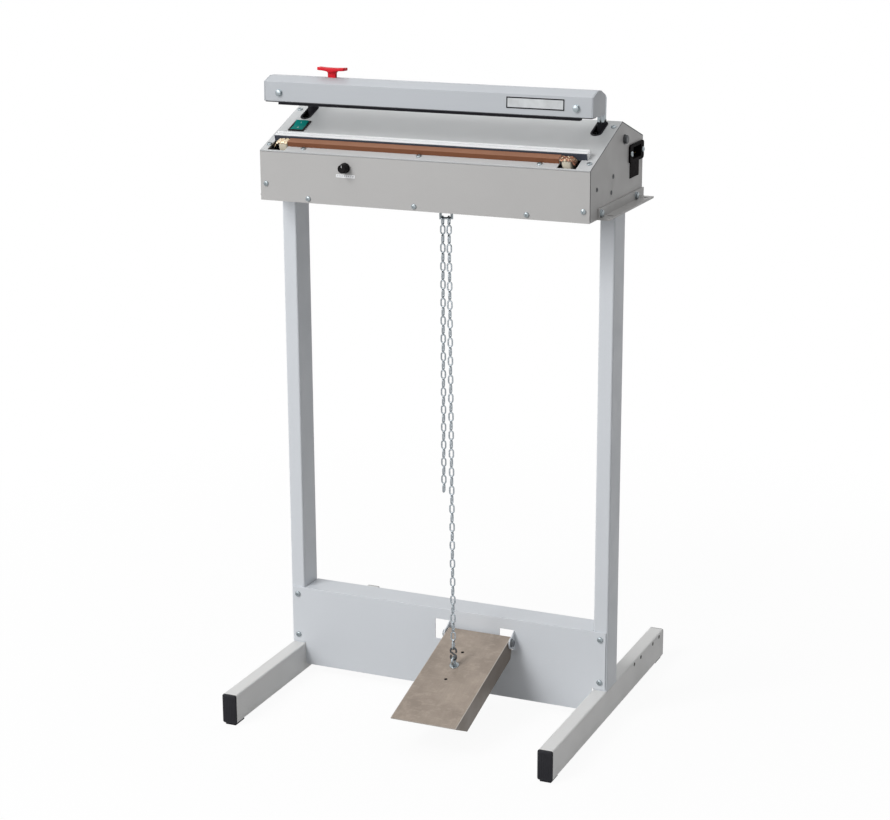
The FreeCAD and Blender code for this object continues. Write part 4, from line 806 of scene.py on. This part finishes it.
eye_z = PEDAL_TOP + EYE_RISE
eye_path = [on_pedal(EYEBOLT_X, EYEBOLT_Y + EYE_RADIUS * math.cos(a), eye_z + EYE_RADIUS * math.sin(a))
            for a in angles_round(40)]
eye = sweep(eye_path, EYE_WIRE, True, 12)
stem = lathe([(2.4, 0), (3.0, 0.5), (3.0, 14.0), (2.4, 15.5)], 24)
eye.add(stem, frame_at(on_pedal(EYEBOLT_X, EYEBOLT_Y, PEDAL_TOP - 12.0), pedal_up))
eye.piece("eyebolt_ring", "zinc", "pedal", PLATED, ("eyebolt",), 50)
nuts = Form()
nuts.add(washer(3.0, 8.0, 1.5), frame_at(on_pedal(EYEBOLT_X, EYEBOLT_Y, PEDAL_TOP), pedal_up))
nuts.add(hex_head(4.9, 5.0), frame_at(on_pedal(EYEBOLT_X, EYEBOLT_Y, PEDAL_TOP - PEDAL_SHEET), -pedal_up))
nuts.piece("eyebolt_nut_and_washer", "zinc", "pedal", PLATED, ("eyebolt_fasteners",), 35)


# Controls

KNOB_X = -128.5
KNOB_Z = 910.4
KNOB_GAP = 0.3
KNOB_FLUTES = 18
# Radius, height and depth of the flutes
KNOB_RINGS = [(8.2, 0, 0), (8.4, 0.4, 0), (8.4, 3.2, 0), (7.9, 4.0, 0), (7.5, 4.2, 0.3), (7.2, 12.6, 0.3),
              (6.8, 13.6, 0.25), (6.0, 14.0, 0), (4.8, 13.8, 0), (1.5, 13.5, 0)]
POINTER_FACE = 14.05
POINTER_RISE = 3.8
POINTER_SIZE = (0.7, 3.6)
SCALE_Z = 897.2
SCALE_SIZE = (33, 5.2)
SCALE_FIRST_X = KNOB_X - 13.3
SCALE_STEP = 3.8
PRINT_THICKNESS = 0.2
PRINT_LIFT = 0.24


def knob_form():
    """Fluted knob with a skirt and a domed top."""
    rings = []
    for r, z, flute in KNOB_RINGS:
        ring = []
        for a in angles_round(4 * KNOB_FLUTES):
            reach = r - flute * (0.5 - 0.5 * math.cos(KNOB_FLUTES * a))
            ring.append(mm(reach * math.cos(a), reach * math.sin(a), z))
        rings.append(ring)
    return stacked(rings)


knob_seat = mm(KNOB_X, HEAD_FRONT - KNOB_GAP, KNOB_Z)
knob = knob_form().at(frame_at(knob_seat, FORWARD))
knob.add(lathe([(3.0, 0), (3.0, 11.5), (2.6, 12.0)], 32), frame_at(knob_seat, -FORWARD))
knob.piece("timer_knob_cap", "black", "knob", "black_plastic", ("timer_knob",), 40)
pointer_place = mm(KNOB_X, HEAD_FRONT - POINTER_FACE, KNOB_Z + POINTER_RISE)
pointer = slab(rounded(*POINTER_SIZE, 0.3), 0, PRINT_THICKNESS).at(frame_at(pointer_place, FORWARD, RIGHT))
pointer.piece("timer_knob_pointer", "white", "knob", "black_plastic")
strip_place = mm(KNOB_X, HEAD_FRONT, SCALE_Z)
strip = slab(rounded(*SCALE_SIZE, 0.8), 0, PRINT_THICKNESS).at(frame_at(strip_place, FORWARD, RIGHT))
strip.piece("timer_scale_strip", "white", ROOT, "painted_steel")


def figures(name, words, size, point, out, along, look, body):
    """Plain figures, as a thin solid on a face."""
    curve = bpy.data.curves.new(name, "FONT")
    curve.body = words
    curve.size = size * MM
    curve.align_x = "CENTER"
    curve.align_y = "CENTER"
    curve.extrude = 0.00005
    curve.resolution_u = 3
    holder = bpy.data.objects.new(name + "_source", curve)
    mesh = bpy.data.meshes.new_from_object(holder)
    bpy.data.objects.remove(holder)
    bpy.data.curves.remove(curve)
    mesh.transform(frame_at(point, out, along))
    mesh.materials.clear()
    mesh.materials.append(M[look])
    obj = bpy.data.objects.new(name, mesh)
    bpy.context.scene.collection.objects.link(obj)
    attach(obj, body)


for i, digit in enumerate("12345678"):
    digit_place = mm(SCALE_FIRST_X + SCALE_STEP * i, HEAD_FRONT - PRINT_LIFT, SCALE_Z)
    figures("timer_scale_" + digit, digit, 3.4, digit_place, FORWARD, RIGHT, "ink", ROOT)

ROCKER_X = -247
ROCKER_S = 82.5
ROCKER_TILT = math.radians(7)
ROCKER_FLOOR = -3.0
MARK_OFFSET = 6.6
MARK_LIFT = 0.06
ROCKER_HALF = (10.7, 12.8)
ROCKER_DIP = 1.45
ROCKER_FALL = math.atan2(2.2, ROCKER_HALF[1])


def rocker_form():
    """Rocker lens with its two faces dipping to the middle, drawn about its own hinge in slope directions."""
    wide, long = ROCKER_HALF
    side = []
    for s in (long, long - 0.1, long - 0.5, long * 0.75, long * 0.5, long * 0.25, 0.6):
        drop = max(0.0, s - long + 0.5) ** 2
        side.append((s, ROCKER_DIP + s * math.tan(ROCKER_FALL) - drop))
    outline = [(-long, ROCKER_FLOOR), (long, ROCKER_FLOOR)] + side + [(-s, h) for s, h in reversed(side)]
    return stacked([[mm(x, s, h) for s, h in outline] for x in (-wide, wide)])


rocker_place = frame_at(on_slope(ROCKER_X, ROCKER_S, 0), slope_up, RIGHT)
tilted = rocker_place @ Matrix.Rotation(ROCKER_TILT, 4, "X")
lens = rocker_form().at(tilted)
lens.piece("power_rocker_lens", "green", "rocker", "green_plastic", ("power_rocker",), 30, 0.25)
mark_height = ROCKER_DIP + MARK_OFFSET * math.tan(ROCKER_FALL) + MARK_LIFT
for word, way in (("O", -1), ("I", 1)):
    spot = tilted @ Vector((0, way * MARK_OFFSET * MM, mark_height * MM))
    out = tilted.to_3x3() @ Vector((0, -way * math.sin(ROCKER_FALL), math.cos(ROCKER_FALL)))
    figures("rocker_mark_" + word, word, 4.4, spot, out, RIGHT, "white", "rocker")


# Foot caps, ribbed at their ends, and black discs of painted shade in the spare holes of the feet and the
# pedal

TUBE_WIDTH = 25.0
TUBE_DEPTH = 50.0
FOOT_END = 276.0
FOOT_MIDDLE_Z = 29.0
FOOT_OUTER = POST_X + TUBE_WIDTH / 2
FOOT_HOLES_Y = (254.0, 219.0, 153.0, 118.0)
FOOT_HOLE_Z = 47.8
CAP_RIB_STEP = 3.0
PEDAL_HOLE_STEP = 36.5


def foot_cap_form():
    """Cap head with a rounded rim and shallow upright ribs, drawn about the tube's axis along +Z."""
    rings = []
    for inset, z in ((0, 0), (0, 2.6), (0.4, 3.3), (1.1, 3.6)):
        outline = rounded(TUBE_WIDTH - 2 * inset, TUBE_DEPTH - 2 * inset, 3.0)
        rings.append([mm(x, y, z) for x, y in outline])
    form = stacked(rings)
    rib = slab(rounded(1.5, 43.0, 0.7, 3), 3.5, 3.95)
    for k in range(-3, 4):
        form.add(rib, Matrix.Translation((k * CAP_RIB_STEP * MM, 0, 0)))
    return form


caps = {"front": Form(), "rear": Form()}
# Painted shade: black discs in the foot holes stand in for the shade inside them.
foot_hole_shades = Form()
foot_hole_shade = lathe([(2.9, -1.0), (3.3, 0), (3.3, 0.15), (2.6, 0.3), (1.0, 0.2)], 24)
for side in (-1, 1):
    for end, word in ((-1, "front"), (1, "rear")):
        spot = mm(side * POST_X, end * FOOT_END, FOOT_MIDDLE_Z)
        caps[word].add(foot_cap_form(), frame_at(spot, Vector((0, end, 0)), RIGHT))
    for y in FOOT_HOLES_Y:
        foot_hole_shades.add(foot_hole_shade, frame_at(mm(side * FOOT_OUTER, y, FOOT_HOLE_Z), RIGHT * side))
caps["front"].piece("foot_caps_front", "cap", ROOT, "black_plastic", ("foot_caps",), 40)
caps["rear"].piece("foot_caps_rear", "grey_cap", ROOT, "black_plastic", (), 40)
foot_hole_shades.piece("foot_hole_shade_discs", "black", ROOT, "black_plastic")
# Painted shade: black discs sunk in the pedal's spare holes stand in for the shade under the pedal.
pedal_hole_shades = Form()
pedal_hole_shade = lathe([(2.6, -1.6), (2.95, -1.2), (2.95, -0.7), (2.4, -0.5), (1.2, -0.6)], 24)
for way in (-1, 1):
    spot = on_pedal(EYEBOLT_X, EYEBOLT_Y + way * PEDAL_HOLE_STEP, PEDAL_TOP)
    pedal_hole_shades.add(pedal_hole_shade, frame_at(spot, pedal_up))
pedal_hole_shades.piece("pedal_hole_shade_discs", "black", "pedal", "black_plastic")


# Painted highlights: bright lines along the pedal's bends and its front edge

PEDAL_SIDES = (11.0, 124.0)
PEDAL_ENDS = (-277.25, -33.0)
LINE_LIFT = 0.05
LINE_ON_TOP = 1.1
LINE_ON_SIDE = 0.8
LINE_ON_FRONT = 1.9


def pedal_bar(x, y, z):
    """A thin strip from one corner to another, in the pedal's own directions."""
    corners = ((x[0], z[0]), (x[1], z[0]), (x[1], z[1]), (x[0], z[1]))
    return stacked([[on_pedal(a, b, c) for a, c in corners] for b in y])


edges = Form()
for side, x in ((-1, PEDAL_SIDES[0]), (1, PEDAL_SIDES[1])):
    lip = sorted((x - side * LINE_ON_TOP, x + side * LINE_LIFT))
    face = sorted((x, x + side * LINE_LIFT))
    edges.add(pedal_bar(lip, PEDAL_ENDS, (PEDAL_TOP, PEDAL_TOP + LINE_LIFT)))
    edges.add(pedal_bar(face, PEDAL_ENDS, (PEDAL_TOP - LINE_ON_SIDE, PEDAL_TOP)))
front = (PEDAL_ENDS[0] - LINE_LIFT, PEDAL_ENDS[0])
edges.add(pedal_bar(PEDAL_SIDES, front, (PEDAL_TOP - LINE_ON_FRONT, PEDAL_TOP)))
edges.piece("pedal_edge_highlights", "bend", "pedal", "stainless_steel")


# Cutter handle

CUTTER_X = -170
CUTTER_S = 39.7
CROWN_H = 62.0
GRIP_HALF_WIDTH = 23.5
GRIP_HALF_DEPTH = 8.5
GRIP_TOP = 6.0
GRIP_THICKNESS = 4.6
GRIP_SWELL = 2.4
SWELL_REACH = 14.0
STEM_WIDTH = 14.0
STEM_DEPTH = 6.0
GRIP_STEPS = 28
# One section of the grip, as shares of its half depth and its thickness
GRIP_SECTION = [(-1, 0.25), (-0.96, 0.06), (-0.85, 0), (0.85, 0), (0.96, 0.06), (1, 0.25), (1, 0.7),
                (0.95, 0.9), (0.8, 1), (0.4, 0.94), (0, 0.92), (-0.4, 0.94), (-0.8, 1), (-0.95, 0.9),
                (-1, 0.7)]
# Height on the stem, and how far it flares there
STEM_RINGS = [(-16.8, 0), (-2.5, 0), (-0.8, 0.5), (0.4, 1.6), (1.2, 3.0)]


def cutter_handle_form():
    """Winged grip: a broad thumb plate that lifts towards its ends, on a flared stem."""
    rings = []
    for k in range(GRIP_STEPS + 1):
        u = -1 + 2 * k / GRIP_STEPS
        x = GRIP_HALF_WIDTH * math.sin(u * math.pi / 2)
        end = math.sqrt(max(0.0, 1 - abs(u) ** 6))
        depth = GRIP_HALF_DEPTH * (0.55 + 0.45 * end) * (1 if abs(u) < 1 else 0.9)
        thick = GRIP_THICKNESS + GRIP_SWELL * max(0.0, 1 - abs(x) / SWELL_REACH) ** 1.5
        low = GRIP_TOP + (x / GRIP_HALF_WIDTH) ** 2 - thick
        rings.append([mm(x, dx * depth, low + dz * thick) for dx, dz in GRIP_SECTION])
    form = stacked(rings)
    stem_rings = []
    for z, grow in STEM_RINGS:
        section = rounded(STEM_WIDTH + 2 * grow, STEM_DEPTH + 1.6 * grow, 1.0 + 0.3 * grow)
        stem_rings.append([mm(x, y, z) for x, y in section])
    form.stack(stem_rings)
    return form


handle = cutter_handle_form().at(frame_at(on_arm(CUTTER_X, CUTTER_S, CROWN_H), arm_up, RIGHT))
handle.piece("cutter_handle_grip", "red", "cutter", "red_plastic", ("cutter_handle",), 50)


# Terminals: a ceramic block under creased foil at each end of the band

SEAL_LEFT_END = -237.0
SEAL_RIGHT_END = 225.0
TERMINAL_REACH = 10.3
TERMINAL_LENGTH = 17.0
TERMINAL_WIDTH = 10.4
TERMINAL_CORNER = 4.5
# Height and inset
TERMINAL_RINGS = [(-12, 0), (1.0, 0), (2.8, 0.7), (3.9, 1.9), (4.5, 3.6)]
FOIL_COLUMNS = 30
FOIL_ROWS = 14
FOIL_START = 0.3
FOIL_LENGTH = 24.7
FOIL_WIDTH = 12.6
FOIL_HEIGHT = 6.6
FOIL_THICKNESS = 0.3
FOIL_BEND_START = 17.0
FOIL_BEND = 8.0


def terminal_form(end, side):
    """Ceramic block with its top well rounded."""
    rings = []
    for h, inset in TERMINAL_RINGS:
        outline = rounded(TERMINAL_LENGTH - 2 * inset, TERMINAL_WIDTH - 2 * inset, TERMINAL_CORNER - inset)
        rings.append([on_slope(end + side * (TERMINAL_REACH + x), SEAL_MIDDLE + y, h) for x, y in outline])
    return stacked(rings)


def foil_crease(x, w, side):
    """How far the creases lift the foil."""
    return (0.45 * math.sin(0.9 * x + 1.7 * w + side) + 0.3 * math.sin(1.9 * x - 1.1 * w)
            + 0.25 * math.sin(2.7 * w + 0.7 * x))


def foil_form(end, side):
    """Creased foil that carries the band over the block and down through the port."""
    upper, lower = [], []
    for i in range(FOIL_COLUMNS + 1):
        x = FOIL_START + FOIL_LENGTH * i / FOIL_COLUMNS
        fall = FOIL_BEND * (max(0.0, x - FOIL_BEND_START) / FOIL_BEND) ** 2
        for j in range(FOIL_ROWS + 1):
            w = FOIL_WIDTH * (j / FOIL_ROWS - 0.5)
            ragged = 0.8 * max(0.0, -4.0 - w - 0.8 * math.sin(1.3 * x))
            h = FOIL_HEIGHT + foil_crease(x, w, side) - fall - ragged
            upper.append(on_slope(end + side * x, SEAL_MIDDLE + w, h))
            lower.append(on_slope(end + side * x, SEAL_MIDDLE + w, h - FOIL_THICKNESS))
    form = Form()
    above, below = form.ring(upper), form.ring(lower)
    wide = FOIL_ROWS + 1
    for i in range(FOIL_COLUMNS):
        for j in range(FOIL_ROWS):
            k = i * wide + j
            form.faces.append((above[k], above[k + 1], above[k + wide + 1], above[k + wide]))
            form.faces.append((below[k], below[k + wide], below[k + wide + 1], below[k + 1]))
    rim = list(range(wide)) + [i * wide + FOIL_ROWS for i in range(1, FOIL_COLUMNS + 1)]
    rim += [FOIL_COLUMNS * wide + j for j in range(FOIL_ROWS - 1, -1, -1)]
    rim += [i * wide for i in range(FOIL_COLUMNS - 1, 0, -1)]
    form.bridge([above[k] for k in rim], [below[k] for k in rim])
    return form


blocks = Form()
for side, word, end in ((-1, "left", SEAL_LEFT_END), (1, "right", SEAL_RIGHT_END)):
    blocks.add(terminal_form(end, side))
    foil_form(end, side).piece("band_foil_" + word, "foil" if side > 0 else "tape", ROOT, "bronze", (), 50)
blocks.piece("terminal_ceramics", "cream", ROOT, "cream_plastic", ("terminal_blocks",), 60)


# Painted shade: a dark strip on the film bar's front face, and dark strips of painted shadow along the seams
# between the cover and the side plates

FILM_HALF = 266.0
# Reach up the slope and height of the strip's outline, then y and z of the seams' two edges
STRIP = [(29.75, 0.5), (29.97, 0.5), (29.97, 9.95), (30.95, 10.97), (30.8, 11.05), (29.75, 10.05)]
SEAM_OUTER = [(-115.3, 852.0), (-115.3, 930.2), (31.0, 985.8), (134.3, 950.8)]
SEAM_INNER = [(-112.3, 852.0), (-112.3, 929.9), (31.0, 984.4), (133.9, 949.57)]
SEAM_LIFT = 0.06
# Painted shade: this strip paints the shade and dark reflection of the film bar's front face.
front_strip = stacked([[on_slope(x, s, h) for s, h in STRIP] for x in (-FILM_HALF, FILM_HALF)])
front_strip.piece("film_bar_front_strip", "slate", ROOT, "dark_aluminium")
# Painted shadow: thin dark strips on the side plates along the cover's edge stand in for the shadow in the
# seams.
seam_outline = SEAM_OUTER + SEAM_INNER[::-1]
seam_shadows = Form()
for side in (-1, 1):
    faces_x = (side * HALF_HEAD, side * (HALF_HEAD + SEAM_LIFT))
    seam_shadows.stack([[mm(x, y, z) for y, z in seam_outline] for x in faces_x])
seam_shadows.piece("cover_seam_shadows", "seam_shade", ROOT, "painted_steel")


# Bare plate with a dark border on the arm's front

PLATE_X = 185
PLATE_H = 31.5
PLATE_SIZE = (95, 18.4)
PLATE_THICKNESS = 0.35
BORDER_OUTER = (94.2, 17.6)
BORDER_INNER = (90.2, 13.6)
BORDER_THICKNESS = 0.08


def plate_matrix(lift):
    return frame_at(on_arm(PLATE_X, ARM_FRONT - lift, PLATE_H), arm_front_out, RIGHT)


plate = slab(rounded(*PLATE_SIZE, 0.8), 0, PLATE_THICKNESS).at(plate_matrix(0))
plate.piece("blank_plate", "plate", "press_arm", "painted_steel", (), 40)
outer = rounded(*BORDER_OUTER, 0.6)
inner = rounded(*BORDER_INNER, 0.4)
border_profile = ((outer, 0), (outer, BORDER_THICKNESS), (inner, BORDER_THICKNESS), (inner, 0))
flat_border = Form()
flat_border.loop([[mm(x, y, z) for x, y in shape] for shape, z in border_profile])
border = flat_border.at(plate_matrix(PLATE_THICKNESS))
border.piece("blank_plate_border", "ink", "press_arm", "painted_steel", (), 40)


# Floor, light and camera

FLOOR_REACH = 9.0
FLOOR_BOUNCE = 0.45
FLOOR_PALE = 0.98
FADE_FROM = 0.5
FADE_TO = 1.6
FADE_LEAST = 0.93
WORLD_LIGHT = 0.3


def grey(value):
    return (value, value, value, 1)


def either(tree, first, second):
    """The greater of two ray tests: true where one of them is."""
    node = shader(tree, "Math", "MAXIMUM")
    tree.links.new(first, node.inputs[0])
    tree.links.new(second, node.inputs[1])
    return node.outputs[0]


def mixed(tree, fac, low, high):
    """Two shaders mixed by a factor."""
    node = shader(tree, "MixShader")
    for socket, source in zip(node.inputs, (fac, low, high)):
        tree.links.new(source, socket)
    return node.outputs[0]


def stage_floor():
    """White floor that keeps the shadow near the object and fades to plain white further out."""
    mesh = bpy.data.meshes.new("floor")
    r = FLOOR_REACH
    mesh.from_pydata([(-r, -r, 0), (r, -r, 0), (r, r, 0), (-r, r, 0)], [], [(0, 1, 2, 3)])
    obj = bpy.data.objects.new("floor", mesh)
    bpy.context.scene.collection.objects.link(obj)
    mat = bpy.data.materials.new("studio_floor")
    mat.use_nodes = True
    tree = mat.node_tree
    tree.nodes.clear()
    bounce = shader(tree, "BsdfDiffuse", Color=grey(FLOOR_BOUNCE))
    pale = shader(tree, "BsdfDiffuse", Color=grey(FLOOR_PALE))
    glow = shader(tree, "Emission", Color=grey(1), Strength=1.0)
    spot = shader(tree, "TexCoord")
    distance = shader(tree, "VectorMath", "LENGTH")
    tree.links.new(spot.outputs["Object"], distance.inputs[0])
    fade = shader(tree, "MapRange", From_Min=FADE_FROM, From_Max=FADE_TO, To_Min=FADE_LEAST, To_Max=1.0)
    tree.links.new(distance.outputs["Value"], fade.inputs["Value"])
    seen = mixed(tree, fade.outputs["Result"], pale.outputs[0], glow.outputs[0])
    rays = shader(tree, "LightPath")
    looked_at = either(tree, rays.outputs["Is Camera Ray"], rays.outputs["Is Glossy Ray"])
    out = shader(tree, "OutputMaterial")
    tree.links.new(mixed(tree, looked_at, bounce.outputs[0], seen), out.inputs["Surface"])
    mesh.materials.append(mat)


def studio_world():
    """White where it is seen, and a dimmer even light on the object."""
    scene_world = bpy.data.worlds.new("studio")
    bpy.context.scene.world = scene_world
    scene_world.use_nodes = True
    tree = scene_world.node_tree
    tree.nodes.clear()
    seen = shader(tree, "Background", Color=grey(1), Strength=1.0)
    light = shader(tree, "Background", Color=grey(1), Strength=WORLD_LIGHT)
    rays = shader(tree, "LightPath")
    looked_at = either(tree, rays.outputs["Is Camera Ray"], rays.outputs["Is Glossy Ray"])
    looked_at = either(tree, looked_at, rays.outputs["Is Transmission Ray"])
    out = shader(tree, "OutputWorld")
    tree.links.new(mixed(tree, looked_at, light.outputs[0], seen.outputs[0]), out.inputs["Surface"])


def area_light(name, place, target, size, power):
    data = bpy.data.lights.new(name, "AREA")
    data.size = size
    data.energy = power
    obj = bpy.data.objects.new(name, data)
    bpy.context.scene.collection.objects.link(obj)
    obj.location = place
    obj.rotation_euler = (Vector(target) - Vector(place)).to_track_quat("-Z", "Y").to_euler()


stage_floor()
studio_world()
area_light("key", (-2.1, -3.5, 4.4), (0, 0, 0.7), 1.8, 112)
area_light("front", (-2.4, -5.2, 2.7), (0, 0, 0.6), 3.0, 128)
area_light("overhead", (0.0, 0.1, 3.6), (0, 0, 0.8), 3.4, 32)

CAMERA = mm(1339.6, -3106.4, 1452.3)
FOCAL_PX = 2127.2
IMAGE_WIDTH_PX = 890
SENSOR_WIDTH = 36.0
YAW, PITCH, ROLL = math.radians(23.47), math.radians(15.75), math.radians(-0.25)
back = Vector((math.sin(YAW) * math.cos(PITCH), -math.cos(YAW) * math.cos(PITCH), math.sin(PITCH)))
level = Vector((math.cos(YAW), math.sin(YAW), 0))
rise = back.cross(level)
right = level * math.cos(ROLL) + rise * math.sin(ROLL)
top = rise * math.cos(ROLL) - level * math.sin(ROLL)
camera_data = bpy.data.cameras.new("camera")
camera_data.sensor_fit = "HORIZONTAL"
camera_data.sensor_width = SENSOR_WIDTH
camera_data.lens = FOCAL_PX * SENSOR_WIDTH / IMAGE_WIDTH_PX
camera_data.clip_end = 50
camera = bpy.data.objects.new("camera", camera_data)
bpy.context.scene.collection.objects.link(camera)
camera.matrix_world = placed(right, top, back, CAMERA)
bpy.context.scene.camera = camera
bpy.context.scene.view_settings.view_transform = "Standard"

bpy.context.view_layer.update()
